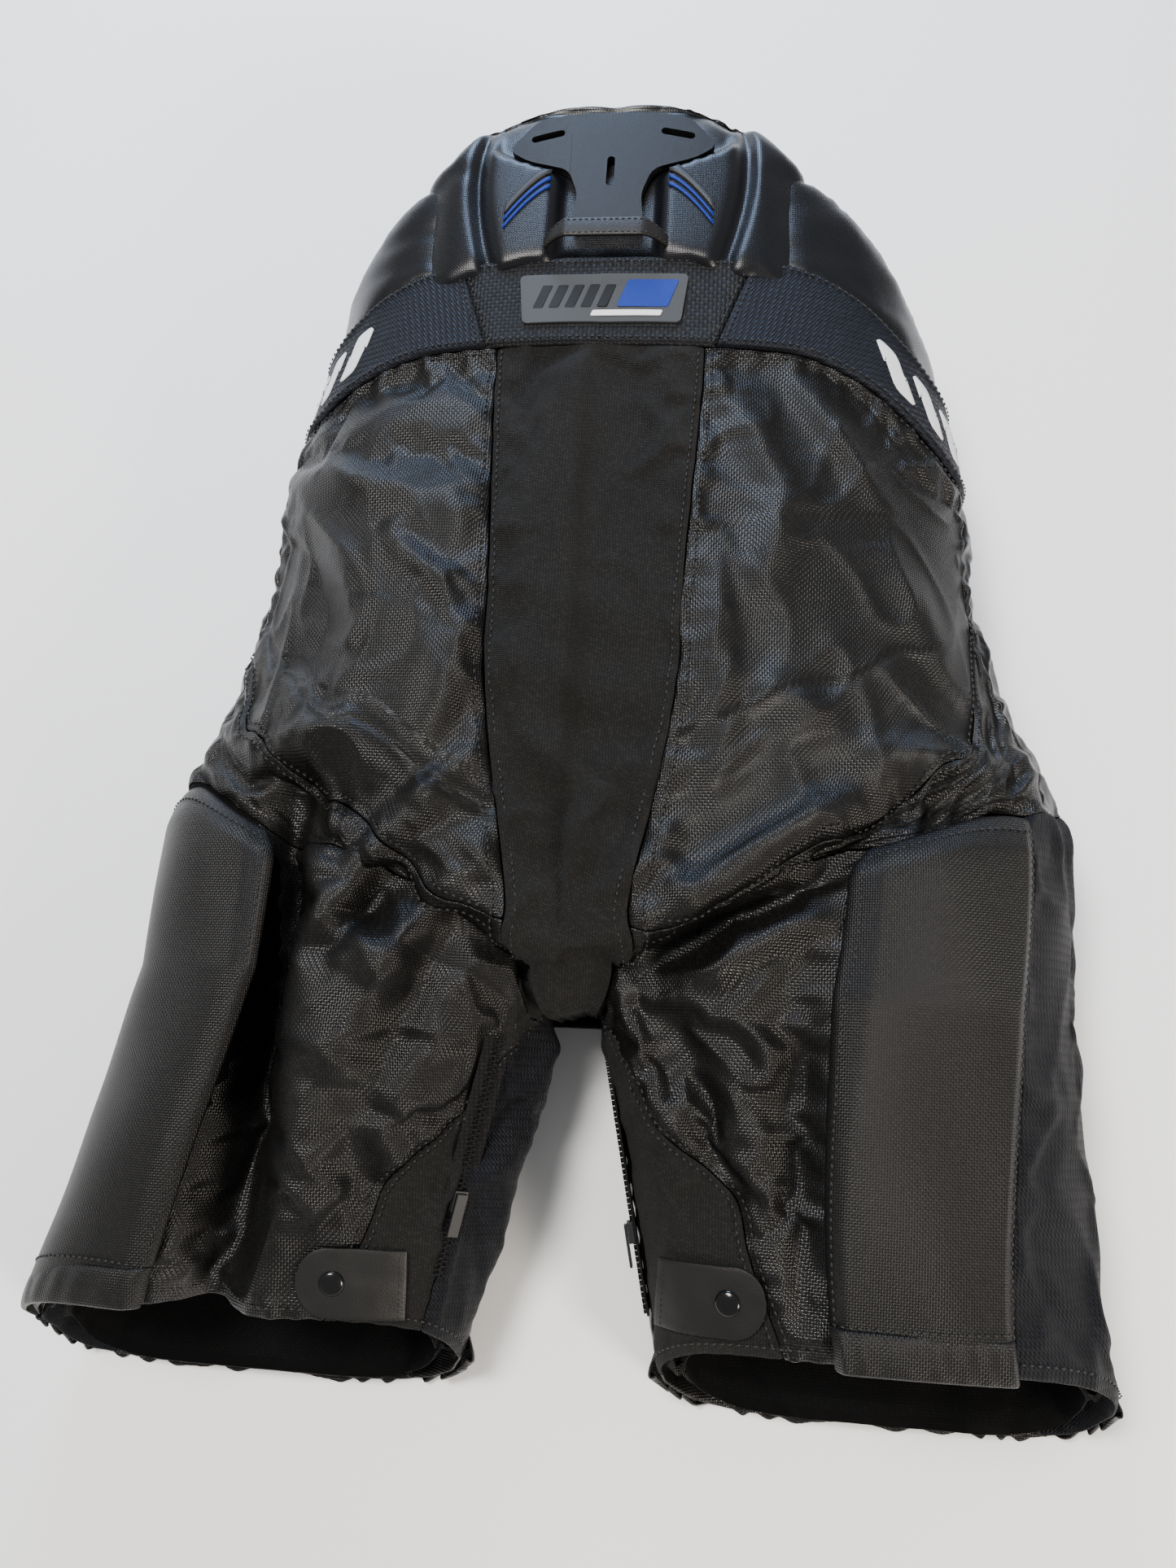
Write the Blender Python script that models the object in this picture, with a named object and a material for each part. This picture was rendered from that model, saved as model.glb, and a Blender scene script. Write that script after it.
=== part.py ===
"""Ice hockey pants, laid face down: the back of the garment is up, the waist points along +Y.

Run with: blender --background --python part.py

The garment is two kinds of padded tube. The trunk tube runs from the crotch to the waist and the two leg
tubes from the crotch to the hems. Every fabric panel, pad, plate and liner is a patch of one of these tubes
at its own depth below the outer face, so neighbours share their seams and layers nest. The legs swing on
upright axes at the crotch; a wedge left open between trunk and leg gives them room. The zip sliders, their
pulls, the snap tabs, the grab loop and the waist clip move as well.

Units are metres. The origin is on the flat face that the pants rest on, on the front seam panel.
"""

import math

import bmesh
import bpy
from mathutils import Matrix, Vector

# Lengths along the body, from the origin
CROTCH_Y = -0.060
BELT_LOW_Y = 0.290
BELT_HEIGHT = 0.055
SPINE_PAD_RISE = 0.105
HEM_BACK_Y = -0.232
HEM_FRONT_Y = -0.280
FLY_LOW_Y = 0.140

# Trunk tube: widths from the mid line and heights, at three places along it. It lies a little to the right.
THIGH_SIDE_X = {"left": 0.248, "right": 0.278}
SEAT_SIDE_X = {"left": 0.196, "right": 0.213}
WAIST_SIDE_X = {"left": 0.174, "right": 0.194}
SEAT_Y = 0.190
THIGH_HEIGHT = 0.142
SEAT_HEIGHT = 0.160
WAIST_HEIGHT = 0.158

# Leg tubes, which taper straight from the crotch to the hem
LEG_TOP_INNER_X = 0.012
LEG_TOP_OUTER_X = {"left": 0.236, "right": 0.266}
LEG_HEM_INNER_X = 0.048
LEG_HEM_OUTER_X = 0.284
LEG_TOP_HEIGHT = 0.136
LEG_HEM_HEIGHT = 0.104
LEG_ROLL = {"left": -34.0, "right": 0.0}

# The wedge between trunk and leg that the leg swing needs, as slopes of its two edges
TRUNK_EDGE_SLOPE = 0.56
LEG_EDGE_SLOPE = 0.35
HINGE_X = 0.012
LEG_CLEARANCE = 0.0006

# Section shape
ROUNDNESS = 2.5
FLOOR_SINK = 0.012

# Thicknesses of the layers, from the outside in
SHELL = 0.0018
LAYER_GAP = 0.0009
PLATE = 0.0016
FOAM = 0.0100
LINER = 0.0012
BELT_PROUD = 0.0010
GUARD_PLATE = 0.0055
GUARD_SHELL = 0.0018
SEAM_GAP = 0.0004
SEAM_TURN = 0.13

# Seams on the back, as half widths at the belt, the seat and the crotch
CENTRE_HALF_WIDTHS = (0.058, 0.051, 0.028)
BELT_SEAM_LOW_X = 0.062
BELT_SEAM_TOP_X = 0.084
FLY_HALF_WIDTH = 0.030
SIDE_SEAM_BACK = 15.0
SIDE_SEAM_FRONT = -37.5

# Spine pad, its plate and the label
SPINE_PAD_HALF_WIDTH = 0.112
SPINE_PAD_TOP_DROP = 0.040
SPINE_FOAM = 0.0150
SPINE_FOAM_INSET = 0.004
KIDNEY_LOW_ANGLE = -15.0
KIDNEY_LOW = 0.08
KIDNEY_HIGH = 0.84
T_PLATE_WIDTH = 0.122
T_PLATE_STEM = 0.042
T_PLATE_HEIGHT = 0.078
T_PLATE_BAR = 0.030
T_PLATE_THICKNESS = 0.0050
T_PLATE_TOP_MARGIN = 0.009
SLOT_LENGTH = 0.020
SLOT_WIDTH = 0.0045
LABEL_WIDTH = 0.094
LABEL_HEIGHT = 0.030
LABEL_THICKNESS = 0.0014

# Grab loop
LOOP_SPAN = 0.082
LOOP_TOP_SPAN = 0.046
LOOP_RISE = 0.017
LOOP_STRAP_WIDTH = 0.012
LOOP_FOOT_WIDTH = 0.0026
LOOP_STRAP = 0.0020

# Leg fittings
GUARD_BACK_ANGLE = 103.0
GUARD_SIDE_ANGLE = 45.0
GUSSET_ANGLE = 127.5
ZIP_ANGLE = 178.0
ZIP_TAPE_WIDTH = 0.016
ZIP_TEETH_WIDTH = 0.0045
ZIP_TAPE = 0.0014
ZIP_END = 0.004
ZIP_TEETH_HEIGHT = 0.0020
ZIP_LOW = 0.16
ZIP_HIGH = 0.86
SLIDER_LENGTH = 0.011
SLIDER_WALL = 0.0012
RUNNING_GAP = 0.0003
PULL_LENGTH = 0.022
PULL_WIDTH = 0.006
PULL_THICKNESS = 0.0014
TAB_LENGTH = 0.053
TAB_WIDTH = 0.034
TAB_THICKNESS = 0.0016
TAB_SEWN_X = {"left": 0.076, "right": 0.053}
TAB_Y = {"left": -0.212, "right": -0.207}
SNAP_RADIUS = 0.0063
SNAP_HEIGHT = 0.0022
SNAP_TAPER = 0.78
SNAP_POST_RADIUS = 0.0042
SNAP_POST_HEIGHT = 0.0022

# Fly and crotch
EYELETS = 5
EYELET_RADIUS = 0.003
EYELET_STRIP_INNER_X = 0.004
CROTCH_MARGIN = 0.004
CROTCH_GUSSET = 0.003

# Where the pads and plates lie: degrees round a section, and shares of the length
PAD_ALONG = (0.2, 0.8)
HIP_PLATE_ANGLES = (-22.5, 45.0)
HIP_FOAM_ANGLES = (-30.0, 52.5)
HIP_FOAM_ALONG = (0.2, 1.0)
TAILBONE_ANGLES = (82.5, 97.5)
GUARD_ALONG = (0.004, 0.985)
GUARD_PLATE_ANGLES = (52.5, 97.5)
FRONT_PAD_ANGLES = (225.0, 300.0)
SIDE_MESH_FRONT = -22.5

# Waist clip
BUCKLE_WIDTH = 0.030
BUCKLE_LENGTH = 0.034
BUCKLE_THICKNESS = 0.0085
BUCKLE_WALL = 0.0018
BUCKLE_HEAD_GAP = 0.0006
CLIP_BODY_LENGTH = 0.012
CLIP_PRONG_OUTLINE = ((-0.011, 0.35), (-0.005, 0.92), (0.008, 0.75))
WEBBING_WIDTH = 0.025
WEBBING_THICKNESS = 0.0018
BELT_FRONT_X = 0.052
WEBBING_SEWN_LENGTH = 0.020

# Facets
AROUND_STEP = 7.5
ALONG_STEPS = 5

BELT_TOP_Y = BELT_LOW_Y + BELT_HEIGHT
TOP_Y = BELT_TOP_Y + SPINE_PAD_RISE
PLATE_DEPTH = SHELL + LAYER_GAP
FOAM_DEPTH = PLATE_DEPTH + PLATE + LAYER_GAP
LINER_DEPTH = FOAM_DEPTH + FOAM + LAYER_GAP
SIGNS = {"left": -1.0, "right": 1.0}

FINISHES = {
    "ballistic_nylon": ((0.020, 0.021, 0.026), 0.42, 0.0),
    "stretch_knit": ((0.016, 0.016, 0.018), 0.85, 0.0),
    "side_mesh": ((0.022, 0.028, 0.045), 0.75, 0.0),
    "belt_fabric": ((0.018, 0.026, 0.048), 0.70, 0.0),
    "satin_nylon": ((0.016, 0.024, 0.046), 0.35, 0.0),
    "lining": ((0.012, 0.012, 0.013), 0.90, 0.0),
    "foam": ((0.35, 0.36, 0.38), 0.95, 0.0),
    "hard_plastic": ((0.012, 0.012, 0.014), 0.45, 0.0),
    "synthetic_leather": ((0.055, 0.056, 0.060), 0.55, 0.0),
    "label_rubber": ((0.16, 0.17, 0.18), 0.60, 0.0),
    "webbing": ((0.018, 0.018, 0.020), 0.80, 0.0),
    "metal": ((0.20, 0.20, 0.21), 0.30, 1.0),
}


def clear_scene():
    """Removes what the startup file holds."""
    for obj in list(bpy.data.objects):
        bpy.data.objects.remove(obj, do_unlink=True)


def new_collection(name, hidden=False):
    """A collection linked to the scene; a hidden one holds cutters."""
    collection = bpy.data.collections.new(name)
    bpy.context.scene.collection.children.link(collection)
    collection.hide_render = hidden
    return collection


clear_scene()
PANTS = new_collection("hockey_pants")
CUTTERS = new_collection("cutters", hidden=True)


def material(finish):
    """The Principled material of this finish, made once."""
    found = bpy.data.materials.get(finish)
    if found:
        return found
    color, roughness, metallic = FINISHES[finish]
    made = bpy.data.materials.new(finish)
    made.use_nodes = True
    shader = made.node_tree.nodes["Principled BSDF"]
    shader.inputs["Base Color"].default_value = (*color, 1.0)
    shader.inputs["Roughness"].default_value = roughness
    shader.inputs["Metallic"].default_value = metallic
    made.diffuse_color = (*color, 1.0)
    return made


def add_object(name, bm, finish, pivot=(0.0, 0.0, 0.0)):
    """Puts a bmesh into the scene as an object whose origin is at its pivot."""
    bmesh.ops.recalc_face_normals(bm, faces=bm.faces[:])
    if bm.calc_volume(signed=True) < 0:
        bmesh.ops.reverse_faces(bm, faces=bm.faces[:])
    bmesh.ops.translate(bm, verts=bm.verts[:], vec=-Vector(pivot))
    mesh = bpy.data.meshes.new(name)
    bm.to_mesh(mesh)
    bm.free()
    obj = bpy.data.objects.new(name, mesh)
    obj.location = pivot
    if finish is None:
        obj.hide_render = True
        obj.display_type = "WIRE"
        CUTTERS.objects.link(obj)
        return obj
    mesh.materials.append(material(finish))
    PANTS.objects.link(obj)
    return obj


def cut(obj, cutter):
    """Takes the cutter's shape out of the object."""
    boolean = obj.modifiers.new("cut_" + cutter.name, "BOOLEAN")
    boolean.operation = "DIFFERENCE"
    boolean.solver = "EXACT"
    boolean.object = cutter


def smooth_mix(low, high, share):
    """Eases from low to high as share goes from 0 to 1."""
    share = min(max(share, 0.0), 1.0)
    return low + (high - low) * share * share * (3.0 - 2.0 * share)


def eased(y, stations):
    """The value at y of a line that eases through (y, value) stations."""
    for (y0, first), (y1, second) in zip(stations, stations[1:]):
        if y <= y1:
            return smooth_mix(first, second, (y - y0) / (y1 - y0))
    return stations[-1][1]


def power(value, exponent):
    """The signed power of a cosine or a sine."""
    return math.copysign(abs(value) ** exponent, value)


def section_point(angle, half_width, height, depth):
    """A point of the flattened oval section: 90 degrees is the back, 270 the face on the floor."""
    half = (height + FLOOR_SINK) / 2
    turn = math.radians(angle)
    across = (half_width - depth) * power(math.cos(turn), 2 / ROUNDNESS)
    up = height - half + (half - depth) * power(math.sin(turn), 2 / ROUNDNESS)
    return across, max(up, depth, 0.0)


def angle_at(across, half_width, front=False):
    """The section angle at which the outer face is this far across."""
    share = min(max(abs(across) / half_width, 0.0), 1.0)
    turn = math.degrees(math.acos(share ** (ROUNDNESS / 2)))
    turn = turn if across >= 0 else 180.0 - turn
    return -turn if front else turn


def side_of(angle):
    """The side of the trunk that an angle lies on."""
    return "right" if math.cos(math.radians(angle)) >= 0 else "left"


def trunk_side_x(label, y):
    """How far the trunk tube reaches from the mid line on one side."""
    thigh = (CROTCH_Y, THIGH_SIDE_X[label])
    seat = (SEAT_Y, SEAT_SIDE_X[label])
    waist = (BELT_TOP_Y, WAIST_SIDE_X[label])
    return eased(y, [thigh, seat, waist])


def trunk_height(y):
    """Height of the trunk tube over the floor."""
    return eased(y, [(CROTCH_Y, THIGH_HEIGHT), (SEAT_Y, SEAT_HEIGHT), (BELT_TOP_Y, WAIST_HEIGHT)])


def trunk_low_y(angle):
    """Where the trunk tube ends at this angle: a straight edge that rises towards the side."""
    across, _ = section_point(angle, THIGH_SIDE_X[side_of(angle)], THIGH_HEIGHT, 0.0)
    return CROTCH_Y + TRUNK_EDGE_SLOPE * max(abs(across) - HINGE_X, 0.0)


def trunk_at(angle, y, depth):
    """A point of the trunk tube at a given y."""
    across, up = section_point(angle, trunk_side_x(side_of(angle), y), trunk_height(y), depth)
    return Vector((across, y, up))


def trunk(angle, along, depth):
    """A point of the trunk tube; along runs from 0 at its slanted lower edge to 1 at the belt."""
    low = trunk_low_y(angle)
    return trunk_at(angle, low + (BELT_LOW_Y - low) * along, depth)


def leg_shares(y):
    """How far a place on the leg is from the hem towards the crotch."""
    return (y - HEM_BACK_Y) / (CROTCH_Y - HEM_BACK_Y)


def leg_section(label, y):
    """Centre, half width and height of a leg tube at y, all of them straight tapers."""
    share = leg_shares(y)
    inner = LEG_HEM_INNER_X + (LEG_TOP_INNER_X - LEG_HEM_INNER_X) * share
    outer = LEG_HEM_OUTER_X + (LEG_TOP_OUTER_X[label] - LEG_HEM_OUTER_X) * share
    height = LEG_HEM_HEIGHT + (LEG_TOP_HEIGHT - LEG_HEM_HEIGHT) * share
    return (inner + outer) / 2, (outer - inner) / 2, height


def leg_at(label, angle, y, depth):
    """A point of one leg tube at a given y, for an angle counted from its outer side."""
    centre, half_width, height = leg_section(label, y)
    across, up = section_point(angle, half_width, height, depth)
    return Vector((SIGNS[label] * (centre + across), y, up))


def leg_top_y(label, angle):
    """Where the leg tube ends at this angle, under the wedge that the swing needs."""
    centre, half_width, height = leg_section(label, CROTCH_Y)
    across, _ = section_point(angle, half_width, height, 0.0)
    return CROTCH_Y - LEG_CLEARANCE + LEG_EDGE_SLOPE * max(centre + across - HINGE_X, 0.0)


def leg_hem_y(angle):
    """The hem, which is higher at the back than at the front."""
    share = (1.0 - math.sin(math.radians(angle))) / 2
    return smooth_mix(HEM_BACK_Y, HEM_FRONT_Y, share)


def leg(label):
    """The surface of one leg: along runs from 0 at the hem to 1 at the top."""

    def surface(angle, along, depth):
        low = leg_hem_y(angle)
        return leg_at(label, angle, low + (leg_top_y(label, angle) - low) * along, depth)

    return surface


def as_function(value):
    """A number, or a function of one value, as a function."""
    return value if callable(value) else lambda _: value


def stations(first, last, step, probe):
    """Places between two edges: the edges, and the multiples of step that are always inside them."""
    start = max(first(at) for at in probe)
    end = min(last(at) for at in probe)
    margin = 0.3 * step
    inside = [step * k for k in range(math.ceil(start / step), math.floor(end / step) + 1)]
    return [at for at in inside if start + margin < at < end - margin]


def shaped_grid(columns, rows, place):
    """A closed slab of columns by rows faces; place(i, j, inner) gives each corner's position."""
    bm = bmesh.new()
    bmesh.ops.create_grid(bm, x_segments=columns, y_segments=rows, size=1.0)
    made = bmesh.ops.extrude_face_region(bm, geom=bm.faces[:])
    inner = {part for part in made["geom"] if isinstance(part, bmesh.types.BMVert)}
    for vert in bm.verts:
        i = round((vert.co.x + 1.0) / 2 * columns)
        j = round((vert.co.y + 1.0) / 2 * rows)
        vert.co = place(i, j, vert in inner)
    return bm


def patch(name, surface, around, along, depth, finish, step=AROUND_STEP, rows=ALONG_STEPS):
    """A slab that follows a surface between two angles, two places along it and two depths.

    Each edge is a number or a function: of along for the two angles, of the angle for the two places.
    """
    first, last = map(as_function, around)
    low, high = map(as_function, along)
    edge_probe = [k / rows for k in range(rows + 1)]
    angles = stations(first, last, step, edge_probe)
    angle_probe = [first(0.5), *angles, last(0.5)]
    places = stations(low, high, 1.0 / rows, angle_probe)

    def place(i, j, inner):
        angle_of = first if i == 0 else last if i == len(angles) + 1 else as_function(angles[i - 1])
        place_of = low if j == 0 else high if j == len(places) + 1 else as_function(places[j - 1])
        position = place_of(angle_of(0.5))
        angle = angle_of(position)
        return surface(angle, place_of(angle), depth[1] if inner else depth[0])

    bm = shaped_grid(len(angles) + 1, len(places) + 1, place)
    return add_object(name, bm, finish)


def seam(label, edge, gap, front=False):
    """An angle edge on one side of the trunk, moved out by a gap, counted as on the right side."""

    def angle(along):
        across = as_function(edge)(along) + gap
        low = CROTCH_Y + TRUNK_EDGE_SLOPE * max(across - HINGE_X, 0.0)
        return angle_at(across, trunk_side_x(label, low + (BELT_LOW_Y - low) * along), front)

    return angle


def waist_angle(label, across, front=False):
    """The angle above or at the belt, counted as on the right side, of a place this far from the middle."""
    return angle_at(across, WAIST_SIDE_X[label], front)


def centre_edge(along):
    """Half width of the stretch panel at the middle of the back."""
    top, middle, low = CENTRE_HALF_WIDTHS
    return eased(along, [(0.0, low), (0.5, middle), (1.0, top)])


def belt_edge(along):
    """Half width of the belt's centre section, which widens upwards."""
    return BELT_SEAM_LOW_X + (BELT_SEAM_TOP_X - BELT_SEAM_LOW_X) * along


def belt(angle, along, depth):
    """The surface of the belt: along runs from 0 at its lower edge to 1 at the waist."""
    return trunk_at(angle, BELT_LOW_Y + SEAM_GAP + (BELT_HEIGHT - SEAM_GAP) * along, depth)


def above_belt(angle, along, depth):
    """The surface that the spine and kidney pads follow, from the belt's top edge upwards."""
    across, up = section_point(angle, WAIST_SIDE_X[side_of(angle)], WAIST_HEIGHT, depth)
    return Vector((across, BELT_TOP_Y + SEAM_GAP + SPINE_PAD_RISE * along, up))


def mirrored(edge):
    """The same edge on the left side, from one counted as on the right side."""
    return lambda at: 180.0 - as_function(edge)(at)


def window(label, first, last):
    """Two edges counted as on the right side, as a rising pair of edges on the side that is asked for."""
    return (first, last) if label == "right" else (mirrored(last), mirrored(first))


def build_trunk_shell():
    """Seat, hip and front panels, with the stretch panel between the seat panels."""
    shell = (0.0, SHELL)
    gap = SEAM_GAP / 2
    middle = (seam("right", centre_edge, -gap), mirrored(seam("left", centre_edge, -gap)))
    patch("centre_stretch_panel", trunk, middle, (0.0, 1.0), shell, "stretch_knit")
    turn = SEAM_TURN
    for label in SIGNS:
        seat = window(label, SIDE_SEAM_BACK + turn, seam(label, centre_edge, gap))
        patch(f"seat_panel_{label}", trunk, seat, (0.0, 1.0), shell, "ballistic_nylon")
        hip = window(label, SIDE_SEAM_FRONT + turn, SIDE_SEAM_BACK - turn)
        patch(f"hip_side_panel_{label}", trunk, hip, (0.0, 1.0), shell, "ballistic_nylon")
        front = window(label, seam(label, FLY_HALF_WIDTH, gap, front=True), SIDE_SEAM_FRONT - turn)
        patch(f"front_panel_{label}", trunk, front, (0.0, 1.0), shell, "ballistic_nylon")


def flat_box(name, low, high, finish, pivot=(0.0, 0.0, 0.0)):
    """A box between two corners."""
    low, high = Vector(low), Vector(high)
    bm = bmesh.new()
    bmesh.ops.create_cube(bm, size=1.0)
    bmesh.ops.scale(bm, verts=bm.verts[:], vec=high - low)
    bmesh.ops.translate(bm, verts=bm.verts[:], vec=(low + high) / 2)
    return add_object(name, bm, finish, pivot)


def build_fly():
    """The seam panel under the fly, the two eyelet strips and the tongue behind them."""
    edge = FLY_HALF_WIDTH - SEAM_GAP
    low = CROTCH_Y + CROTCH_MARGIN
    flat_box("front_seam_panel", (-edge, low, 0), (edge, FLY_LOW_Y, SHELL), "stretch_knit")
    strip_low = FLY_LOW_Y + SEAM_GAP
    tongue_z = SHELL + LAYER_GAP
    flat_box(
        "fly_tongue", (-edge, strip_low, tongue_z), (edge, BELT_LOW_Y, tongue_z + SHELL), "ballistic_nylon"
    )
    pitch = (BELT_LOW_Y - strip_low) / EYELETS
    for label, side in SIGNS.items():
        ends = sorted((side * EYELET_STRIP_INNER_X, side * edge))
        corners = (ends[0], strip_low, 0), (ends[1], BELT_LOW_Y, SHELL)
        strip = flat_box(f"eyelet_strip_{label}", *corners, "synthetic_leather")
        middle = side * (EYELET_STRIP_INNER_X + edge) / 2
        bm = bmesh.new()
        for k in range(EYELETS):
            at = Matrix.Translation((middle, strip_low + pitch * (k + 0.5), SHELL / 2))
            bmesh.ops.create_cone(
                bm,
                cap_ends=True,
                segments=10,
                radius1=EYELET_RADIUS,
                radius2=EYELET_RADIUS,
                depth=4 * SHELL,
                matrix=at,
            )
        cut(strip, add_object(f"eyelet_cutter_{label}", bm, None))


def build_belt():
    """The belt's three sections and the label on the middle one."""
    skin = (-BELT_PROUD, SHELL - BELT_PROUD)

    def at_belt(label, gap):
        return lambda along: angle_at(
            belt_edge(along) + gap, trunk_side_x(label, BELT_LOW_Y + BELT_HEIGHT * along)
        )

    gap = SEAM_GAP / 2
    middle = (at_belt("right", -gap), mirrored(at_belt("left", -gap)))
    patch("belt_back", belt, middle, (0.0, 1.0), skin, "belt_fabric", rows=2)
    for label in SIGNS:
        wrap = window(label, waist_angle(label, BELT_FRONT_X, front=True), at_belt(label, gap))
        patch(f"belt_{label}", belt, wrap, (0.0, 1.0), skin, "belt_fabric", rows=2)
    low = (BELT_HEIGHT - LABEL_HEIGHT) / 2 / BELT_HEIGHT
    outer = -BELT_PROUD - RUNNING_GAP - LABEL_THICKNESS
    half = LABEL_WIDTH / 2
    span = (waist_angle("right", half), 180.0 - waist_angle("left", half))
    layer = (outer, outer + LABEL_THICKNESS)
    patch("label_patch", belt, span, (low, 1.0 - low), layer, "label_rubber", rows=2)


def spine_top(angle):
    """The arched top edge of the spine pad, as a share of its rise."""
    across, _ = section_point(angle, WAIST_SIDE_X[side_of(angle)], WAIST_HEIGHT, 0.0)
    share = min(abs(across) / SPINE_PAD_HALF_WIDTH, 1.0)
    return 1.0 - SPINE_PAD_TOP_DROP / SPINE_PAD_RISE * share**2.6


def build_pads_above_belt():
    """The spine pad with its foam, and the kidney pad on each side of it."""

    def across_to(half):
        return waist_angle("right", half), 180.0 - waist_angle("left", half)

    cover = across_to(SPINE_PAD_HALF_WIDTH - SEAM_GAP / 2)
    patch("spine_pad_cover", above_belt, cover, (0.0, spine_top), (0.0, SHELL), "satin_nylon", rows=4)
    foam = (SHELL + LAYER_GAP, SHELL + LAYER_GAP + SPINE_FOAM)
    inset = SPINE_FOAM_INSET / SPINE_PAD_RISE
    patch(
        "spine_pad_foam", above_belt, across_to(SPINE_PAD_HALF_WIDTH - SPINE_FOAM_INSET),
        (inset, lambda angle: spine_top(angle) - inset), foam, "foam", rows=4,
    )
    for label in SIGNS:
        top_angle = waist_angle(label, SPINE_PAD_HALF_WIDTH + SEAM_GAP / 2)

        def kidney_top(angle, top_angle=top_angle):
            folded = angle if angle <= 90.0 else 180.0 - angle
            share = (folded - KIDNEY_LOW_ANGLE) / (top_angle - KIDNEY_LOW_ANGLE)
            return KIDNEY_LOW + (KIDNEY_HIGH - KIDNEY_LOW) * max(share, 0.0) ** 1.3

        wing = window(label, KIDNEY_LOW_ANGLE, top_angle)
        layer = (0.0, SHELL + FOAM)
        patch(f"kidney_pad_{label}", above_belt, wing, (0.0, kidney_top), layer, "satin_nylon", rows=4)


def back_height(across):
    """Height of the pads' outer face above the belt, at this distance from the middle."""
    label = "right" if across >= 0 else "left"
    angle = angle_at(abs(across), WAIST_SIDE_X[label])
    return section_point(angle, WAIST_SIDE_X[label], WAIST_HEIGHT, 0.0)[1]


def build_spine_plate():
    """The T-shaped moulded plate on the spine pad, with its three slots."""
    top = TOP_Y - T_PLATE_TOP_MARGIN
    half_bar, half_stem = T_PLATE_WIDTH / 2, T_PLATE_STEM / 2
    right = [
        (0.30 * half_bar, top),
        (0.72 * half_bar, top - 0.12 * T_PLATE_BAR),
        (half_bar, top - 0.75 * T_PLATE_BAR),
        (0.80 * half_bar, top - 1.05 * T_PLATE_BAR),
        (half_stem * 1.15, top - 1.30 * T_PLATE_BAR),
        (half_stem * 0.86, top - T_PLATE_HEIGHT * 0.72),
        (half_stem, top - T_PLATE_HEIGHT),
    ]
    outline = right + [(-x, y) for x, y in reversed(right)]
    bm = bmesh.new()
    verts = [bm.verts.new((x, y, 0.0)) for x, y in outline]
    bmesh.ops.contextual_create(bm, geom=verts)
    bmesh.ops.bevel(
        bm, geom=verts, offset=0.005, segments=3, profile=0.5, affect="VERTICES", material=-1
    )
    made = bmesh.ops.extrude_face_region(bm, geom=bm.faces[:])
    raised = [part for part in made["geom"] if isinstance(part, bmesh.types.BMVert)]
    bmesh.ops.translate(bm, verts=raised, vec=(0.0, 0.0, T_PLATE_THICKNESS))
    slot_places = (
        (-0.62 * half_bar, top - 0.50 * T_PLATE_BAR, 12.0),
        (0.62 * half_bar, top - 0.50 * T_PLATE_BAR, -12.0),
        (0.0, top - 1.35 * T_PLATE_BAR, 90.0),
    )
    cuts = 10
    for k in range(1, cuts):
        x = half_bar * (2.0 * k / cuts - 1.0)
        whole = bm.verts[:] + bm.edges[:] + bm.faces[:]
        bmesh.ops.bisect_plane(bm, geom=whole, dist=1e-6, plane_co=(x, 0, 0), plane_no=(1, 0, 0))
    for vert in bm.verts:
        vert.co.z += back_height(vert.co.x) + RUNNING_GAP
    plate = add_object("spine_plate", bm, "hard_plastic")
    height = back_height(0.0)
    for k, (x, y, turn) in enumerate(slot_places):
        bm = bmesh.new()
        bmesh.ops.create_cube(bm, size=1.0)
        bmesh.ops.scale(bm, verts=bm.verts[:], vec=(SLOT_LENGTH, SLOT_WIDTH, 6 * T_PLATE_THICKNESS))
        upright = [edge for edge in bm.edges if abs(edge.verts[0].co.z - edge.verts[1].co.z) > 1e-4]
        bmesh.ops.bevel(
            bm, geom=upright, offset=0.45 * SLOT_WIDTH, segments=2, profile=0.5, affect="EDGES", material=-1
        )
        placed = Matrix.Translation((x, y, height)) @ Matrix.Rotation(math.radians(turn), 4, "Z")
        bmesh.ops.transform(bm, verts=bm.verts[:], matrix=placed)
        cut(plate, add_object(f"slot_cutter_{k}", bm, None))


def build_grab_loop():
    """The strap handle at the middle of the waist. It folds about the line through its two pinched feet."""
    y = BELT_TOP_Y + SEAM_GAP + LOOP_STRAP_WIDTH / 2 + 0.001
    foot, shoulder = LOOP_SPAN / 2, LOOP_TOP_SPAN / 2
    foot_half, full_half = LOOP_FOOT_WIDTH / 2, LOOP_STRAP_WIDTH / 2
    left = (
        (-foot, 0.0, foot_half),
        (-foot + 0.004, 0.35 * LOOP_RISE, 0.7 * full_half),
        (-shoulder - 0.003, LOOP_RISE - 0.003, full_half),
        (-shoulder + 0.003, LOOP_RISE, full_half),
    )
    route = left + tuple((-x, up, half) for x, up, half in reversed(left))
    base = back_height(0.8 * foot) + RUNNING_GAP

    def place(i, j, inner):
        x, up, half = route[i]
        slope = 1.0 - up / LOOP_RISE
        outward = LOOP_STRAP * (0 if inner else 1)
        across = math.copysign(outward * slope, x)
        return Vector((x + across, y + (2 * j - 1) * half, base + up + outward * (1.0 - 0.4 * slope)))

    pivot = (0.0, y, base + RUNNING_GAP + foot_half)
    add_object("grab_loop", shaped_grid(len(route) - 1, 1, place), "synthetic_leather", pivot=pivot)


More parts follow.
